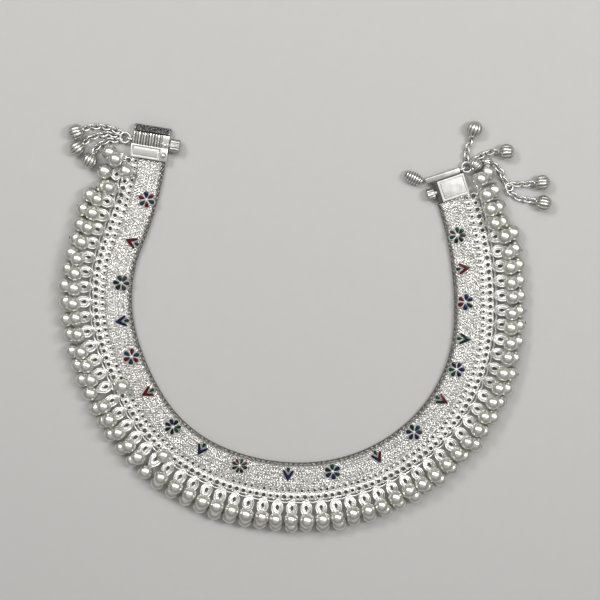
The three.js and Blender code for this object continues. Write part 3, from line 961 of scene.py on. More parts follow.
def net_cell(name, hole, half_width):
    """A cell of the net: a round hole with a raised rim in a flat plate, one unit long."""
    start_afresh()
    top, crown, floor = 1.5 * MM, 1.86 * MM, 0.6 * MM
    sides = 12
    bpy.ops.mesh.primitive_circle_add(vertices=sides, radius=1, fill_type="NOTHING")
    piece = named(name)
    turn_half = math.pi / sides
    angles = [2 * math.pi * i / sides + turn_half for i in range(sides)]
    half_long = 1.06 * MM

    def ring(share, height):
        return [(share * math.cos(a), share * math.sin(a), height) for a in angles]

    def border(height):
        points = []
        for a in angles:
            x, y = math.cos(a), math.sin(a)
            reach = max(abs(x), abs(y))
            points.append((x / reach * half_width, y / reach * half_long, height))
        return points

    rings = [
        border(floor),
        ring(hole, floor),
        ring(hole * 0.96, (floor + top) / 2),
        ring(hole * 1.02, crown - 0.08 * MM),
        ring(hole + 0.15 * MM, crown),
        ring(hole + 0.3 * MM, crown - 0.08 * MM),
        ring(hole + 0.38 * MM, top),
        border(top - 0.04 * MM),
    ]
    for vertex, point in zip(piece.data.vertices, rings[0]):
        vertex.co = point
    edit(piece)
    bpy.ops.mesh.select_all(action="SELECT")
    for points in rings[1:]:
        bpy.ops.mesh.extrude_region_move()
        shape = bmesh.from_edit_mesh(piece.data)
        shape.verts.ensure_lookup_table()
        fresh = [vertex for vertex in shape.verts if vertex.select]
        fresh.sort(key=lambda vertex: math.atan2(vertex.co.y, vertex.co.x) % (2 * math.pi))
        for vertex, point in zip(fresh, points):
            vertex.co = point
        bmesh.update_edit_mesh(piece.data)
    done()
    smooth(faced_outwards(piece), 40)
    reshape(piece, lambda co: Vector((co.x, (co.y + half_long) / (2 * half_long), co.z)))
    return Pattern(piece)


def model_net(settings):
    """Two rows of ringed holes, with beads soldered between the rings."""
    draw = random.Random(23)
    rows = (
        ("inner", 0.42 * MM, 7.7 * MM, 9.72 * MM, settings.net_pitch * 0.92),
        ("outer", 0.6 * MM, 9.7 * MM, 11.95 * MM, settings.net_pitch),
    )
    hole_sizes = (0.82, 1.0, 1.15)
    bead_inset = 0.14 * MM
    batches = []
    beads = []
    for name, hole, low, high, pitch in rows:
        middle = (low + high) / 2
        cells = [net_cell(name, hole * share, (high - low) / 2) for share in hole_sizes]
        length = rim.length_at(middle)
        count = round(length / pitch)
        edges = [rim.station_at(length * i / count, middle) for i in range(count + 1)]
        picked = [(draw.choice(cells), span) for span in zip(edges[:-1], edges[1:])]
        for cell in cells:
            spans = [span for other, span in picked if other is cell]
            batches.append((cell, cell.bent(spans, middle)))
        for s in edges[1:-1]:
            beads += [(s, low + bead_inset), (s, high - bead_inset)]
    bead = Pattern(ball("bead", 0.25 * MM, 8, 6))
    matrices = []
    for s, out in beads:
        place = rim.stand(s, out + draw.uniform(-0.06, 0.06) * MM, 1.5 * MM)
        size = draw.uniform(0.85, 1.15)
        stretch = Matrix.Diagonal((size, size * 1.25, size * 0.85, 1))
        matrices.append(place @ turn("Z", draw.uniform(-50, 50)) @ stretch)
    batches.append((bead, bead.stood(matrices)))
    piece = copied("net", batches, [Finishes.get("net_silver")])
    edit(piece)
    bpy.ops.mesh.select_all(action="SELECT")
    bpy.ops.mesh.remove_doubles(threshold=0.002 * MM)
    done()
    return piece


class PAYAL_OT_net(bpy.types.Operator):
    """Model the pierced net along the band's outer side"""

    bl_idname = "payal.net"
    bl_label = "Pierced net"

    def execute(self, context):
        on_body(model_net(context.scene.payal_weave), "payal", "woven_silver")
        return {"FINISHED"}


# Fringe


class Drop:
    """One loop with its two bells: its place on the rim, and how its bells lie."""

    def __init__(self, number, count, s):
        self.number = number
        self.s = s
        from_right = count - 1 - number
        self.pull = END_PULL if number < LEFT_END[1] or from_right < RIGHT_END[1] else 0.0
        swing = -END_SWING if number == 0 else END_SWING if from_right == 0 else 0
        self.stand = rim.stand(s, BORDER_MIDDLE, 0) @ turn("Z", swing)


def place_drops():
    span = rim.length_at(BORDER_MIDDLE) + LEFT_END[0] + RIGHT_END[0]
    count = round(span / DROP_PITCH) + 1
    drops = []
    for number in range(count):
        distance = span * number / (count - 1) - LEFT_END[0]
        drops.append(Drop(number, count, rim.station_at(distance, BORDER_MIDDLE)))
    return drops


def settle_bells(drops, settings):
    """Scatters the bells a little and then, over a fixed number of rounds, pushes apart those that
    run into each other.
    """
    draw = random.Random(41)
    front, back = settings.front_bell, settings.back_bell
    touching = front + back - 0.1 * MM
    rise = math.sqrt(touching ** 2 - (BACK_REACH - FRONT_REACH) ** 2)
    loose_drops = 20  # on the left, where the bells lie less evenly
    rounds, push, pull_home = 60, 0.4, 0.02
    places, radii = [], []
    for drop in drops:
        loose = settings.spread * (1.6 if drop.number < loose_drops else 1.0)
        for reach, up, radius in ((BACK_REACH, back, back), (FRONT_REACH, back + rise, front)):
            size = radius * draw.uniform(0.95, 1.03)
            local = Vector((
                reach - drop.pull + draw.uniform(-1, 0.4) * loose,
                draw.uniform(-1, 1) * loose,
                up + draw.uniform(-1, 0.1) * loose,
            ))
            if up > back and drop.number in TOSSED_BELLS:
                out, along = TOSSED_BELLS[drop.number]
                local = Vector((out - BORDER_MIDDLE, along, NET_TOP + size))
            places.append(drop.stand @ local)
            radii.append(size)
    places = np.array(places)
    radii = np.array(radii)
    touch = radii[:, None] + radii[None, :]
    home = places.copy()
    for _ in range(rounds):
        gap = places[:, None, :] - places[None, :, :]
        apart = np.linalg.norm(gap, axis=-1)
        np.fill_diagonal(apart, 1)
        overlap = np.clip(touch - apart, 0, None)
        places += push * (gap / apart[..., None] * overlap[..., None]).sum(axis=1)
        places += pull_home * (home - places)
        places[:, 2] = np.maximum(places[:, 2], radii)
    return places.reshape(-1, 2, 3), radii.reshape(-1, 2)


def bell_ball(name, sides, rings):
    """A ball of radius 1 with its poles along X, where a bell has its foot."""
    piece = ball(name, 1, sides, rings)
    reshape(piece, lambda co: Vector((co.z, co.y, -co.x)))
    return piece


def cut_slot(piece, half_width, depth):
    pick_faces(piece, lambda middle, normal: middle.x > 0.62 and abs(middle.y) < half_width)
    bpy.ops.mesh.inset(thickness=0.04, depth=0.0)
    bpy.ops.mesh.extrude_region_move(TRANSFORM_OT_translate={"value": (-depth, 0, 0)})
    done()


def in_slot(middle, half_width, wall):
    """Whether a face of a bell with a slot lies in the slot, under the bell's wall."""
    return middle.x > 0.3 and abs(middle.y) < half_width + 0.02 and middle.length < wall


def model_bell(sides):
    """A bell of radius 1 with a seam round its middle and a slot at its foot, which is along X."""
    half_slot = 0.14
    piece = bell_ball("bell", sides, sides // 2 + 1)
    pick_faces(piece, lambda middle, normal: abs(middle.x) < 0.02)
    bpy.ops.mesh.inset(thickness=0.1, depth=0.0)
    bpy.ops.transform.resize(value=(1, 1.012, 1.012), center_override=(0, 0, 0))
    done()
    cut_slot(piece, half_slot, 0.22)
    for face in piece.data.polygons:
        face.material_index = 1 if in_slot(face.center, half_slot, 0.93) else 0
    return smooth(piece)


def teardrop(length, width, count, tip, height=0.0, start=0.0):
    """Points round a drop that is round at its start and narrows to its far end."""
    points = []
    for i in range(count):
        t = 2 * math.pi * i / count
        x = start + length * (1 - math.cos(t)) / 2
        y = math.sin(t) * abs(math.cos(t / 2)) ** (2 * tip)
        points.append((x, y, height))
    widest = max(abs(y) for _, y, _ in points)
    return [(x, y / widest * width / 2, z) for x, y, z in points]


def model_loop():
    """A double wire loop round a sunk plate with a hole, in millimetres, along X."""
    rim_points = 14  # of the plate, along its hole and along its edge
    outer = wire("outer", teardrop(LOOP_LENGTH, 3.35, 22, 0.35), 0.27, True, 1)
    inner = wire("inner", teardrop(2.1, 1.35, 14, 0.3, 0.06, 0.95), 0.2, True, 1)
    start_afresh()
    bpy.ops.mesh.primitive_circle_add(vertices=rim_points, radius=1, fill_type="NOTHING")
    plate = named("plate")
    hole = teardrop(1.9, 1.2, rim_points, 0.3, -0.1, 1.05)
    for vertex, point in zip(plate.data.vertices, hole):
        vertex.co = point
    edit(plate)
    bpy.ops.mesh.select_all(action="SELECT")
    bpy.ops.mesh.extrude_region_move()
    done()
    edge = teardrop(LOOP_LENGTH - 0.1, 3.25, rim_points, 0.35, -0.1)
    for vertex, point in zip(plate.data.vertices[rim_points:], edge):
        vertex.co = point
    finish_with(plate, "SOLIDIFY", thickness=0.16, offset=0)
    smooth(plate)
    return joined("loop", outer, inner, plate)


def bell_matrix(centre, radius, foot, roll):
    """Stands a bell with its foot in a direction."""
    aim = Vector(foot).normalized()
    side = UP.cross(aim)
    side = side.normalized() if side.length > 1e-6 else Vector((0, 1, 0))
    above = aim.cross(side)
    basis = Matrix((aim, side, above)).transposed().to_4x4()
    return Matrix.Translation(centre) @ basis @ turn("X", roll) @ Matrix.Scale(radius, 4)


def model_border(drops):
    """The scalloped wire that the loops hang from, with one scallop for each drop."""
    steps, past_ends, bulge, thickness = 8, 0.9 * MM, 0.7 * MM, 0.25 * MM
    points = []
    stations = [drop.s for drop in drops]
    stations = [stations[0] - past_ends, *stations, stations[-1] + past_ends]
    for a, b in zip(stations[:-1], stations[1:]):
        for i in range(steps):
            share = i / steps
            out = 12.0 * MM + bulge * math.sin(math.pi * share)
            points.append(rim.place(a + (b - a) * share, out, LOOP_HEIGHT))
    return wire("border_wire", points, thickness, False, 2)


def hung_loop(foot, centre, radius, roll, width):
    """Stands a loop with its round end at its foot and its narrow end in the top of a bell."""
    aim = Vector(centre) + Vector((0, 0, 0.5 * MM)) - foot
    length = aim.length - (radius - 0.55 * MM)
    lean = Euler((0, -math.atan2(aim.z, math.hypot(aim.x, aim.y)), math.atan2(aim.y, aim.x)))
    place = Matrix.Translation(foot) @ lean.to_matrix().to_4x4()
    return place @ turn("X", roll) @ Matrix.Diagonal((length / LOOP_LENGTH, MM * width, MM, 1))


def model_drops(name, drops, bells, radii, loop, bell):
    draw = random.Random(59 + drops[0].number)
    loops, balls = [], []
    for drop, (back, front), (back_radius, front_radius) in zip(drops, bells, radii):
        foot = Vector(drop.stand @ Vector((0.1 * MM, 0, LOOP_HEIGHT)))
        roll = draw.uniform(-9, 9)
        loops.append(hung_loop(foot, back, back_radius, roll, draw.uniform(0.97, 1.06)))
        if drop.number in TOSSED_BELLS:
            loops.append(hung_loop(foot, front, front_radius, 0, 1))
        outwards = Vector(drop.stand.to_3x3() @ Vector((1, 0, 0)))
        for centre, radius, drop_by in ((back, back_radius, 0.5), (front, front_radius, 0.9)):
            sway = Vector([draw.uniform(-most, most) for most in (0.5, 0.5, 0.3)])
            aim_foot = outwards + sway - UP * drop_by
            balls.append(bell_matrix(centre, radius, aim_foot, draw.uniform(-40, 40)))
    batches = [(loop, loop.stood(loops)), (bell, bell.stood(balls))]
    materials = [Finishes.get(key) for key in ("loop_silver", "bell_silver", "slot_shade")]
    return copied(name, batches, materials)


class PAYAL_OT_fringe(bpy.types.Operator):
    """Model the scalloped border, the loops and their bells"""

    bl_idname = "payal.fringe"
    bl_label = "Bell fringe"

    def execute(self, context):
        settings = context.scene.payal_fringe
        drops = place_drops()
        bells, radii = settle_bells(drops, settings)
        loop = Pattern(model_loop())
        bell = Pattern(model_bell(settings.bell_sides), 1)
        half = math.ceil(len(drops) / 2)
        halves = (("left", slice(0, half)), ("right", slice(half, None)))
        for name, part in halves:
            piece = model_drops(f"drops_{name}", drops[part], bells[part], radii[part], loop, bell)
            on_body(piece, "payal", "bell_silver", f"fringe_{name}")
        border = dress(model_border(drops), Finishes.get("net_silver"))
        on_body(border, "payal", "bell_silver")
        return {"FINISHED"}


# Enamel


def signed_area(outline):
    return sum(a[0] * b[1] - b[0] * a[1] for a, b in zip(outline, outline[1:] + outline[:1])) / 2


def from_outline(place, outline):
    """How far a place lies from the nearest side of an outline."""
    best = math.inf
    for a, b in zip(outline, outline[1:] + outline[:1]):
        side = Vector(b) - Vector(a)
        offset = place.xy - Vector(a)
        share = min(1, max(0, offset.dot(side) / max(1e-12, side.length_squared)))
        best = min(best, (offset - share * side).length)
    return best


def cell_pattern(name, outline, wall=CELL_WALL):
    """A silver cell with a rim and sunk enamel, from an outline in millimetres."""
    height, lip, step = 0.42, 0.03, 0.015
    start_afresh()
    bpy.ops.mesh.primitive_circle_add(vertices=len(outline), radius=1, fill_type="NGON")
    piece = named(name)
    for vertex, (x, y) in zip(piece.data.vertices, outline):
        vertex.co = (x, y, 0)
    edit(piece)
    bpy.ops.mesh.select_all(action="SELECT")
    if signed_area(outline) < 0:
        bpy.ops.mesh.flip_normals()
    bpy.ops.mesh.extrude_region_move(TRANSFORM_OT_translate={"value": (0, 0, height)})
    stepped((lip, 0.04), (wall, 0.0), (0.02, -0.1), (0.06, 0.05))
    done()
    for face in piece.data.polygons:
        inside = from_outline(face.center, outline) > lip + wall + step
        face.material_index = 1 if inside and face.center.z > 0.3 else 0
        face.use_smooth = bool(face.material_index)
    return piece


def petal_outline(length, width, start):
    """Points round a petal that grows broader outwards from its start."""
    points = teardrop(length, width, 14, 0.0)
    return [(start + x, y * (0.45 + 0.75 * x / length)) for x, y, _ in points]


def enamel_piece(name, cells, slot, node):
    """Joins placed cells, each with its own enamel, into one piece."""
    materials = [Finishes.get("net_silver")]
    batches = []
    for letters, pattern_piece, matrix in cells:
        pattern = Pattern(pattern_piece)
        numbers = [0]
        for letter in letters:
            material = Finishes.get(ENAMEL_NAMES[letter])
            if material not in materials:
                materials.append(material)
            numbers.append(materials.index(material))
        pattern.slots = np.array(numbers, np.int32)[pattern.slots]
        batches.append((pattern, pattern.stood([matrix])))
    return on_body(copied(name, batches, materials), "payal", slot, node)


class PAYAL_OT_enamel(bpy.types.Operator):
    """Model the enamelled flowers, chevrons and leaves"""

    bl_idname = "payal.enamel"
    bl_label = "Enamelled motifs"

    def execute(self, context):
        draw = random.Random(83)
        for i, share in enumerate(MOTIF_PLACES):
            place = rim.stand(share * BAND_LENGTH, MOTIF_FROM_RIM, 2.6 * MM)
            number = i // 2
            if i % 2 == 0:
                self.flower(draw, number, place)
            else:
                self.chevron(number, place)
        return {"FINISHED"}

    def flower(self, draw, number, place):
        first, petals = FLOWERS[number]
        cells = []
        upright = Matrix.Translation(place.translation) @ Matrix.Scale(MM, 4)
        for k, letter in enumerate(petals):
            length = draw.uniform(2.4, 2.6)
            width = PETAL_WIDTHS[len(petals)] * draw.uniform(0.92, 1.08)
            cell = cell_pattern("petal", petal_outline(length, width, 0.25))
            angle = first + 360 * k / len(petals) + draw.uniform(-5, 5)
            cells.append((letter, cell, upright @ turn("Z", angle)))
        boss = ball("boss", 0.42, 10, 6)
        reshape(boss, lambda co: Vector((co.x, co.y, 0.25 + co.z * 0.7)))
        cells.append((petals[0], boss, upright))
        name = f"flower_{number + 1:02d}"
        enamel_piece(f"enamel_{name}", cells, "enamel_navy", name)

    def chevron(self, number, place):
        left, right, leaf = CHEVRONS[number]
        place = place @ Matrix.Scale(MM, 4)
        across = [(x, -y) for x, y in reversed(CHEVRON_ARM[1:])]
        outline = [*CHEVRON_ARM, CHEVRON_INNER_CORNER, *across]
        arms = cell_pattern("arms", outline, CHEVRON_WALL)
        edit(arms)
        bpy.ops.mesh.select_all(action="SELECT")
        bpy.ops.mesh.bisect(plane_co=(0, 0, 0), plane_no=(0, 1, 0))
        done()
        for face in arms.data.polygons:
            if face.material_index and face.center.y < 0:
                face.material_index = 2
        blade = cell_pattern("leaf", petal_outline(1.95, 1.5, 0.4), CHEVRON_WALL)
        cells = [(left + right, arms, place), (leaf, blade, place @ turn("Z", 180))]
        name = f"leaf_{number + 1:02d}"
        enamel_piece(f"enamel_{name}", cells, "enamel_green", name)


# Clasps, modelled in millimetres with Y away from the band and X outwards. At the left clasp X
# points inwards, so its outward places are negative.


def clasp_matrix(side):
    s = 0 if side < 0 else BAND_LENGTH
    _, _, heading = rim.walk(np.asarray(float(s)))
    angle = float(heading) + (math.pi / 2 if side < 0 else -math.pi / 2)
    origin = Matrix.Translation(Vector(rim.place(s, 0, 0)))
    return origin @ Matrix.Rotation(angle, 4, "Z") @ Matrix.Scale(MM, 4)


def set_in_clasp(piece, side):
    piece.data.transform(clasp_matrix(side) @ piece.matrix_basis)
    piece.matrix_basis = Matrix.Identity(4)
    piece.data.update()
    return piece


def model_framed_plate():
    """The plain half of the left clasp: a bare panel sunk in a raised frame."""
    box = LEFT_BOX
    low = (-box["outer"], SEAT_GAP, 0)
    high = (-box["inner"], SEAT_GAP + box["plate"], box["height"])
    piece = block("plate_half", low, high)
    panel_end = -box["inner"] - PLAIN_END
    edit(piece)
    bpy.ops.mesh.select_all(action="SELECT")
    bpy.ops.mesh.bisect(plane_co=(panel_end, 0, 0), plane_no=(1, 0, 0))
    done()
    pick_faces(piece, lambda middle, normal: normal.z > 0.9 and middle.x < panel_end)
    stepped((0.42, 0.0), (0.1, -0.28), (0.3, 0.0), (0.12, 0.1))
    done()
    return rounded(piece, 0.12, 2, 30)


def model_fluted_barrel():
    """The fluted half of the left clasp, plain at its inner end."""
    box = LEFT_BOX
    flute_length = box["outer"] - box["inner"] - PLAIN_END
    flute_depth, end_drop = 0.5, 0.12
    low = (-box["outer"], SEAT_GAP + box["plate"] + 0.02, 0)
    high = (-box["inner"], box["length"] + SEAT_GAP, box["height"])
    piece = block("barrel", low, high)
    pick_edges(piece, lambda a, b: abs(a.x - b.x) > 1)
    bpy.ops.mesh.subdivide(number_cuts=BARREL_FLUTES * 8 - 1)
    done()
    pick_edges(piece, lambda a, b: abs(a.y - b.y) > 1)
    bpy.ops.mesh.subdivide(number_cuts=6)
    done()
    middle = (low[1] + high[1]) / 2
    half = (high[1] - low[1]) / 2

    def flutes_at(x):
        return (x + box["outer"]) / flute_length * BARREL_FLUTES

    def flute(co):
        if co.z < box["height"] - 0.01:
            return co
        share = flutes_at(co.x)
        crest = abs(math.sin(math.pi * share)) ** 1.1 if share < BARREL_FLUTES else 1.0
        end = abs(co.y - middle) / half
        drop = flute_depth * (1 - crest) + end_drop * max(0.0, end - 0.62) ** 2 / 0.14
        return Vector((co.x, co.y, co.z - drop))

    reshape(piece, flute)
    smooth(piece, 45)
    # Painted shade: faces in the flutes' valleys take a dark silver, and the other fluted faces a
    # silver that darkens low down.
    for face in piece.data.polygons:
        fluted = face.center.z > box["height"] - 0.9 and -box["inner"] - face.center.x > PLAIN_END
        turns = flutes_at(face.center.x) % 1
        valley = min(turns, 1 - turns) < 0.2
        face.material_index = 0 if not fluted else 2 if valley else 1
    return piece


def model_bosses():
    """The two domes at the plain inner end of the left clasp."""
    box = LEFT_BOX
    pieces = []
    for along in ((SEAT_GAP + box["plate"]) / 2, LEFT_KNOB["along"]):
        boss = ball("boss", 0.9, 20, 12)
        x = -(box["inner"] + 0.85 + SEAT_GAP)
        reshape(boss, lambda co, x=x, y=along: co + Vector((x, y, box["height"] - 0.2)))
        pieces.append(boss)
    return joined("bosses", *pieces)


def model_eye(side, outer, along):
    eye = hoop("eye", EYE_RADIUS, EYE_WIRE, 24, 10)
    middle = Vector((side * (outer + EYE_RADIUS - EYE_SINK), along, EYE_HEIGHT))
    reshape(eye, lambda co: Vector((co.x, co.z, co.y)) + middle)
    return faced_outwards(eye)


def ring_middle(side, outer, along):
    return Vector((side * (outer + EYE_RADIUS - EYE_SINK + RING_RADIUS), along, EYE_HEIGHT))


def model_end_slab():
    """The blackened end of the left clasp, with its grains."""
    box = LEFT_BOX
    start = box["length"] + 2 * SEAT_GAP
    far = start + END_SLAB_LENGTH
    top, fall = 2.65, 0.6
    piece = block("end_slab", (-box["outer"], start, 0.5), (-box["inner"], far, top))
    pick_edges(piece, lambda a, b: min(a.y, b.y) > far - 0.1 and min(a.z, b.z) > 2)
    bpy.ops.transform.translate(value=(0, 0, -fall))
    done()
    pick_faces(piece, lambda middle, normal: normal.z > 0.3)
    bpy.ops.mesh.inset(thickness=0.2, depth=0.0)
    done()
    rounded(piece, 0.15, 2, 25)
    draw = random.Random(101)
    grain = Pattern(ball("grain", 0.3, 10, 6))
    matrices = []
    columns, rows, row_pitch = 20, 4, 0.44
    row_length = box["outer"] - box["inner"] - 0.7
    for row in range(rows):
        for column in range(columns):
            share = (column + 0.5 * (row % 2) + 0.25) / (columns + 0.25)
            x = -box["outer"] + 0.35 + share * row_length
            y = start + 0.28 + row * row_pitch
            z = top + 0.01 - (y - start) * fall / END_SLAB_LENGTH
            size = draw.uniform(0.8, 1.12)
            wobble = shift(x + draw.uniform(-0.06, 0.06), y + draw.uniform(-0.05, 0.05), z)
            matrices.append(wobble @ Matrix.Scale(size, 4))
    grains = copied("grains", [(grain, grain.stood(matrices))], [])
    return joined("end_slab", piece, grains)


def model_knob(name, side, box, knob):
    """A knurled screw head on its neck, about its own axis across the clasp."""
    wall = box["inner"] - SEAT_GAP
    radius, length, flutes = knob["radius"], knob["length"], knob["flutes"]
    neck, neck_sink = 0.8, 1.4
    profile = (
        (0.3 * radius, 0), (0.78 * radius, 0.02), (0.95 * radius, 0.14), (radius, 0.32),
        (radius, length - 0.32), (0.95 * radius, length - 0.12), (0.7 * radius, length),
        (neck, length + 0.01), (neck, length + SEAT_GAP + neck_sink),
    )
    piece = turned(name, profile, flutes * 6)

    def knurl(co):
        reach = math.hypot(co.x, co.y)
        if reach < 0.8 * radius:
            return co
        wave = math.cos(math.atan2(co.y, co.x) * flutes)
        share = 1 - knob["knurl"] * (1 - wave)
        return Vector((co.x * share, co.y * share, co.z))

    reshape(piece, knurl)
    place = shift(side * (wall - length), knob["along"], radius) @ turn("Y", side * 90)
    piece.data.transform(place)
    return smooth(faced_outwards(piece), 50)


def model_frosted_plate():
    """The right clasp's plate, with a sloped inner side and a fine line inside its edge."""
    box = RIGHT_BOX
    low = (box["inner"], SEAT_GAP, 0)
    high = (box["outer"], SEAT_GAP + box["length"], box["height"])
    piece = block("frosted_plate", low, high)
    pick_edges(piece, lambda a, b: max(a.x, b.x) < box["inner"] + 0.01 and min(a.z, b.z) > 3)
    bpy.ops.mesh.bevel(offset=1.25, segments=1)
    done()
    pick_faces(piece, lambda middle, normal: normal.z > 0.9)
    stepped((0.5, 0.0), (0.1, -0.1), (0.12, 0.0), (0.1, 0.1))
    done()
    # Painted shade: the sloped inner side takes a dark silver.
    for face in piece.data.polygons:
        sloped = face.normal.x < -0.3
        face.material_index = 1 if sloped else 0
    return rounded(piece, 0.1, 2, 25)


def model_end_bar():
    """A flat-topped brushed bar, with its eye."""
    bar, along = END_BAR, END_BAR_ALONG
    half = bar["radius"] - 0.06
    low = (bar["inner"], along - half, bar["height"] - half)
    high = (bar["outer"], along + half, bar["height"] + half)
    piece = block("end_bar", low, high)
    rounded(piece, 0.28, 4, 30)
    for face in piece.data.polygons:
        face.material_index = 1
    silver = Finishes.get("clasp_silver")
    dress(piece, silver, Finishes.get("bar_silver"))
    eye = dress(model_eye(1, bar["outer"], along), silver)
    return joined("end_bar", piece, eye)


def model_beehive():
    """The ribbed screw that hangs askew from the bar's inner end."""
    hive = BEEHIVE
    ribs, foot = 7, 0.1
    ribbed = hive["length"] - 0.25
    rib = ((0.05, 0.34), (0.3, 0.06), (0.55, 0.0), (0.8, 0.1))  # share of its height, how far in
    profile = [(0.3 * hive["neck"], 0), (hive["neck"], 0.05)]
    for i in range(ribs):
        for share, ease in rib:
            t = (i + share) / ribs
            swell = math.sin(math.pi * (0.16 + 0.66 * t))
            radius = hive["neck"] + (hive["radius"] - hive["neck"]) * swell
            profile.append((radius - ease, foot + ribbed * t))
    profile.append((0.3 * hive["radius"], hive["length"]))
    piece = turned("beehive", profile, 28)
    # Painted shade: faces in the grooves between the ribs take a dark silver.
    for face in piece.data.polygons:
        share = (face.center.z - foot) / ribbed * ribs % 1
        face.material_index = 1 if share > 0.87 else 0
    yaw = math.radians(hive["yaw"])
    clear = SEAT_GAP + hive["neck"] * math.sin(yaw)
    spun = Matrix.Rotation(math.pi / 2 - yaw, 4, "Z") @ turn("X", -90)
    place = shift(END_BAR["inner"] - clear, END_BAR_ALONG, hive["radius"])
    piece.data.transform(place @ spun)
    return smooth(faced_outwards(piece), 50)


class PAYAL_OT_left_clasp(bpy.types.Operator):
    """Model the left clasp with its knurled screw"""

    bl_idname = "payal.left_clasp"
    bl_label = "Left clasp"

    def execute(self, context):
        silver = Finishes.get("clasp_silver")
        eye = model_eye(-1, LEFT_BOX["outer"], LEFT_EYE_ALONG)
        barrel = model_fluted_barrel()
        dress(barrel, silver, Finishes.get("fluted_silver"), Finishes.get("core_silver"))
        others = [dress(piece, silver) for piece in (model_framed_plate(), model_bosses(), eye)]
        box = set_in_clasp(joined("left_box", barrel, *others), -1)
        on_body(box, "payal", "clasp_silver", "left_clasp_box")
        slab = dress(set_in_clasp(model_end_slab(), -1), Finishes.get("oxidised_silver"))
        on_body(slab, "payal", "oxidised_silver", "left_end")
        knob = model_knob("left_knob", -1, LEFT_BOX, LEFT_KNOB)
        dress(set_in_clasp(knob, -1), Finishes.get("knob_silver"))
        on_body(knob, "left_screw", "clasp_silver", "left_screw")
        return {"FINISHED"}


class PAYAL_OT_right_clasp(bpy.types.Operator):
    """Model the right clasp with its bar, its knurled screw and its beehive screw"""

    bl_idname = "payal.right_clasp"
    bl_label = "Right clasp"

    def execute(self, context):
        silver = Finishes.get("clasp_silver")
        plate = set_in_clasp(model_frosted_plate(), 1)
        dress(plate, Finishes.get("frosted_silver"), Finishes.get("core_silver"))
        on_body(plate, "payal", "frosted_silver", "right_clasp_box")
        bar = set_in_clasp(model_end_bar(), 1)
        on_body(bar, "payal", "clasp_silver", "right_end_bar")
        knob = set_in_clasp(model_knob("right_knob", 1, RIGHT_BOX, RIGHT_KNOB), 1)
        dress(knob, Finishes.get("knob_silver"))
        on_body(knob, "right_screw", "clasp_silver", "right_screw")
        hive = dress(set_in_clasp(model_beehive(), 1), silver, Finishes.get("core_silver"))
        on_body(hive, "payal", "clasp_silver", "corner_screw")
        return {"FINISHED"}


# Rings and tassels


def flowing(points, steps):
    """Points of a smooth curve through the given ones, a number of steps for each stretch."""
    ends = [2 * points[0] - points[1], *points, 2 * points[-1] - points[-2]]
    curve = []
    for p0, p1, p2, p3 in zip(ends, ends[1:], ends[2:], ends[3:]):
        for i in range(steps):
            t = i / steps
            curve.append(
                0.5 * (2 * p1 + (p2 - p0) * t + (2 * p0 - 5 * p1 + 4 * p2 - p3) * t * t
                       + (3 * p1 - p0 - 3 * p2 + p3) * t ** 3)
            )
    curve.append(points[-1])
    return curve


def along_route(route, pitch):
    """Evenly spaced middles and headings along a line of points."""
    lengths = [0.0]
    for a, b in zip(route, route[1:]):
        lengths.append(lengths[-1] + (b - a).length)
    count = max(2, round(lengths[-1] / pitch))
    stops = []
    for i in range(count):
        wanted = lengths[-1] * (i + 0.5) / count
        k = next(j for j in range(1, len(lengths)) if lengths[j] >= wanted)
        a, b = route[k - 1], route[k]
        share = (wanted - lengths[k - 1]) / max(1e-9, lengths[k] - lengths[k - 1])
        stops.append((a.lerp(b, share), (b - a).normalized()))
    return stops


def model_tassel_bell():
    """A fluted bell of radius 1 with painted shade in its grooves and a slot, its foot along X."""
    half_slot = 0.12
    piece = bell_ball("tassel_bell", TASSEL_FLUTES * 5, 20)

    def flute(co):
        around = math.atan2(co.z, co.y)
        swell = math.hypot(co.y, co.z)
        crest = abs(math.sin(around * TASSEL_FLUTES / 2)) ** 0.6
        share = 1 - 0.12 * swell * (1 - crest)
        return Vector((co.x, co.y * share, co.z * share))

    reshape(piece, flute)
    cut_slot(piece, half_slot, 0.2)
    for face in piece.data.polygons:
        # Painted shade: faces along each groove take a dark silver.
        middle = face.center
        turns = math.atan2(middle.z, middle.y) * TASSEL_FLUTES / math.tau % 1
        grooved = min(turns, 1 - turns) < 0.13 and abs(middle.x) < 0.93
        inside = in_slot(middle, half_slot, 0.8)
        face.material_index = 1 if inside else 2 if grooved else 0
    return smooth(piece)


TASSEL_FINISHES = ("clasp_silver", "bell_silver", "slot_shade", "core_silver")


def model_tassel(name, side, route, bell_at, link, bell, cap, loose=()):
    """A chain of links along a route, with its bell at the far end and any loose bells on it."""
    chain_height, link_pitch, stretch_steps = 0.95, 1.45, 10

    def lift(place, up):
        return Vector((side * place[1], place[0], up))

    points = [lift(place, chain_height) for place in route]
    middle = lift(bell_at, TASSEL_BELL_RADIUS)
    inward = points[-1] - middle
    inward.z = 0
    inward.normalize()
    entry = middle + inward * (TASSEL_BELL_RADIUS + 0.15)
    entry.z = TASSEL_BELL_RADIUS * 0.62
    curve = flowing([*points, entry], stretch_steps)
    matrices = []
    for i, (place, heading) in enumerate(along_route(curve, link_pitch)):
        level = heading.cross(UP).normalized()
        above = level.cross(heading)
        basis = Matrix((heading, -level, above)).transposed().to_4x4()
        roll = 42 if i % 2 else -48
        matrices.append(Matrix.Translation(place) @ basis @ turn("X", roll))
    away = middle - entry
    stands = [bell_matrix(middle, TASSEL_BELL_RADIUS, (away.x, away.y, away.z * 0.3), 20)]
    for number, (place, radius) in enumerate(loose):
        stands.append(bell_matrix(place, radius, (0.8, 0.5 - number, -0.4), 50))
    collars = [held @ shift(-1.0, 0, 0) @ turn("Y", 90) for held in stands]
    batches = [
        (link, link.stood(matrices)),
        (bell, bell.stood(stands)),
        (cap, cap.stood(collars)),
    ]
    materials = [Finishes.get(key) for key in TASSEL_FINISHES]
    piece = copied(name.replace("tassel", "chain"), batches, materials)
    on_body(set_in_clasp(piece, side), "payal", "bell_silver", name)


def from_ring(middle, side, share):
    """A place along and outwards, from its shares of the tassels' reach past a ring's middle."""
    return middle.y + TASSEL_REACH * share[0], side * middle.x + TASSEL_REACH * share[1]


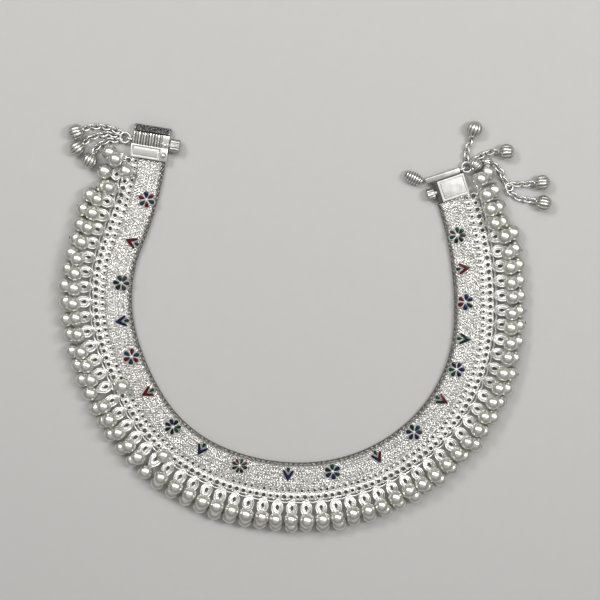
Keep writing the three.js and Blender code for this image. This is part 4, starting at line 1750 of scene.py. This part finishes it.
class PAYAL_OT_tassels(bpy.types.Operator):
    """Model the jump rings and the bell tassels at both ends"""

    bl_idname = "payal.tassels"
    bl_label = "Rings and tassels"

    def execute(self, context):
        link = model_link(0.88, 0.29, 1.3, 16, 8)
        bell = Pattern(model_tassel_bell(), 1)
        cap = Pattern(hoop("cap", 0.24, 0.1, 14, 6), 1)
        ends = (
            ("left", -1, LEFT_BOX["outer"], LEFT_EYE_ALONG, LEFT_TASSELS),
            ("right", 1, END_BAR["outer"], END_BAR_ALONG, RIGHT_TASSELS),
        )
        for name, side, outer, along, tassels in ends:
            middle = ring_middle(side, outer, along)
            ring = hoop(f"{name}_jump_ring", RING_RADIUS, EYE_WIRE, 28, 10)
            reshape(ring, lambda co, middle=middle: co + middle)
            dress(set_in_clasp(ring, side), Finishes.get("clasp_silver"))
            on_body(ring, "payal", "bell_silver", f"{name}_ring")
            for i, (angle, points, bell_at) in enumerate(tassels):
                reach = (RING_RADIUS - 0.1) / TASSEL_REACH
                angle = math.radians(angle)
                start = (reach * math.sin(angle), reach * math.cos(angle))
                route = [from_ring(middle, side, point) for point in (start, *points)]
                tassel = f"{name}_tassel_{i + 1}"
                loose = [
                    (Vector((middle.x + out, middle.y + forward, up)), radius)
                    for forward, out, up, radius in LOOSE_BELLS
                    if tassel == LOOSE_BELLS_ON
                ]
                end = from_ring(middle, side, bell_at)
                model_tassel(tassel, side, route, end, link, bell, cap, loose)
            if side > 0:
                self.branch(middle, side, link, bell, cap)
        return {"FINISHED"}

    def branch(self, middle, side, link, bell, cap):
        """The fourth tassel of the right end, which branches off the third one's chain."""
        points, bell_at = BRANCH_TASSEL
        route = [from_ring(middle, side, point) for point in points]
        end = from_ring(middle, side, bell_at)
        model_tassel("right_tassel_4", side, route, end, link, bell, cap)
        self.branch_ring(side, *from_ring(middle, side, BRANCH_RING["place"]))

    def branch_ring(self, side, along, out):
        """The jump ring that joins the fourth tassel to the third one's chain."""
        ring = hoop("branch_jump_ring", BRANCH_RING["radius"], BRANCH_RING["wire"], 24, 8)
        place = shift(side * out, along, BRANCH_RING["up"]) @ turn("Y", BRANCH_RING["lean"])
        ring.data.transform(place)
        dress(set_in_clasp(ring, side), Finishes.get("clasp_silver"))
        on_body(ring, "payal", "bell_silver")


# Stage


def add_softbox(name, place, size, power):
    """A soft square of light in metres that faces the payal."""
    bpy.ops.object.light_add(type="AREA", location=place)
    lamp = named(name)
    lamp.data.shape = "RECTANGLE"
    lamp.data.size, lamp.data.size_y = size
    lamp.data.energy = power
    lamp.rotation_euler = (VIEW_TARGET - Vector(place)).to_track_quat("-Z", "Y").to_euler()


class PAYAL_OT_stage(bpy.types.Operator):
    """Set the floor, the soft lights and the photograph's camera"""

    bl_idname = "payal.stage"
    bl_label = "Floor, lights and camera"

    def execute(self, context):
        settings = context.scene.payal_studio
        start_afresh()
        bpy.ops.mesh.primitive_plane_add(size=3, location=(0, 0, -0.02 * MM))
        floor = named("floor")
        bpy.ops.object.transform_apply(location=True, rotation=True, scale=True)
        dress(floor, floor_finish("floor", tuple(settings.floor)))
        add_softbox("overhead_light", (0.05, 0.42, 0.7), (0.44, 0.34), settings.key)
        add_softbox("side_light", (0.35, 0.15, 0.5), (0.1, 0.2), settings.fill)
        add_softbox("back_light", (-0.3, 0.35, 0.5), (0.2, 0.1), settings.fill)
        self.room(context.scene, settings)
        back = Vector((0, math.sin(VIEW_TILT), math.cos(VIEW_TILT))) * VIEW_DISTANCE
        bpy.ops.object.camera_add(location=VIEW_TARGET + back, rotation=(-VIEW_TILT, 0, 0))
        camera = named("camera")
        camera.data.lens = VIEW_LENS
        camera.data.sensor_width = 36
        camera.data.clip_start = 0.01
        context.scene.camera = camera
        context.scene.view_settings.view_transform = "Standard"
        return {"FINISHED"}

    def room(self, scene, settings):
        """A room with dim walls and a paler ceiling."""
        world = bpy.data.worlds.new("room")
        scene.world = world
        world.use_nodes = True
        nodes = Nodes(world.node_tree)
        place = nodes.node("TexCoord", output="Generated")
        height = nodes.node("SeparateXYZ", {}, {0: place}, output="Z")
        wall = (settings.wall, settings.wall, settings.wall)
        ceiling = (settings.sky, settings.sky, settings.sky * 0.98)
        stops = {"stops": ((0.05, wall), (0.9, ceiling))}
        light = nodes.node("ValToRGB", stops, {"Fac": height}, output="Color")
        background = world.node_tree.nodes["Background"]
        nodes.tree.links.new(light.socket, background.inputs["Color"])


# The add-on

SETTINGS = {
    "payal_colours": PayalColours,
    "payal_weave": PayalWeave,
    "payal_fringe": PayalFringe,
    "payal_studio": PayalStudio,
}

STEPS = (
    PAYAL_OT_stage,
    PAYAL_OT_band,
    PAYAL_OT_net,
    PAYAL_OT_fringe,
    PAYAL_OT_enamel,
    PAYAL_OT_left_clasp,
    PAYAL_OT_right_clasp,
    PAYAL_OT_tassels,
)


class PAYAL_PT_panel(bpy.types.Panel):
    """The payal's steps in the 3D view's sidebar"""

    bl_idname = "PAYAL_PT_panel"
    bl_label = "Payal"
    bl_space_type = "VIEW_3D"
    bl_region_type = "UI"
    bl_category = "Payal"

    def draw(self, context):
        for step in STEPS:
            self.layout.operator(step.bl_idname)
        for group in SETTINGS:
            settings = getattr(context.scene, group)
            for key in settings.bl_rna.properties.keys():
                if key not in ("rna_type", "name"):
                    self.layout.prop(settings, key)


def register():
    for kind in (*SETTINGS.values(), *STEPS, PAYAL_PT_panel):
        bpy.utils.register_class(kind)
    for name, kind in SETTINGS.items():
        setattr(bpy.types.Scene, name, PointerProperty(type=kind))


def unregister():
    for name in SETTINGS:
        delattr(bpy.types.Scene, name)
    for kind in (PAYAL_PT_panel, *reversed(STEPS), *reversed(SETTINGS.values())):
        bpy.utils.unregister_class(kind)


def main():
    register()
    for step in STEPS:
        group, name = step.bl_idname.split(".")
        getattr(getattr(bpy.ops, group), name)()


if __name__ == "__main__":
    main()
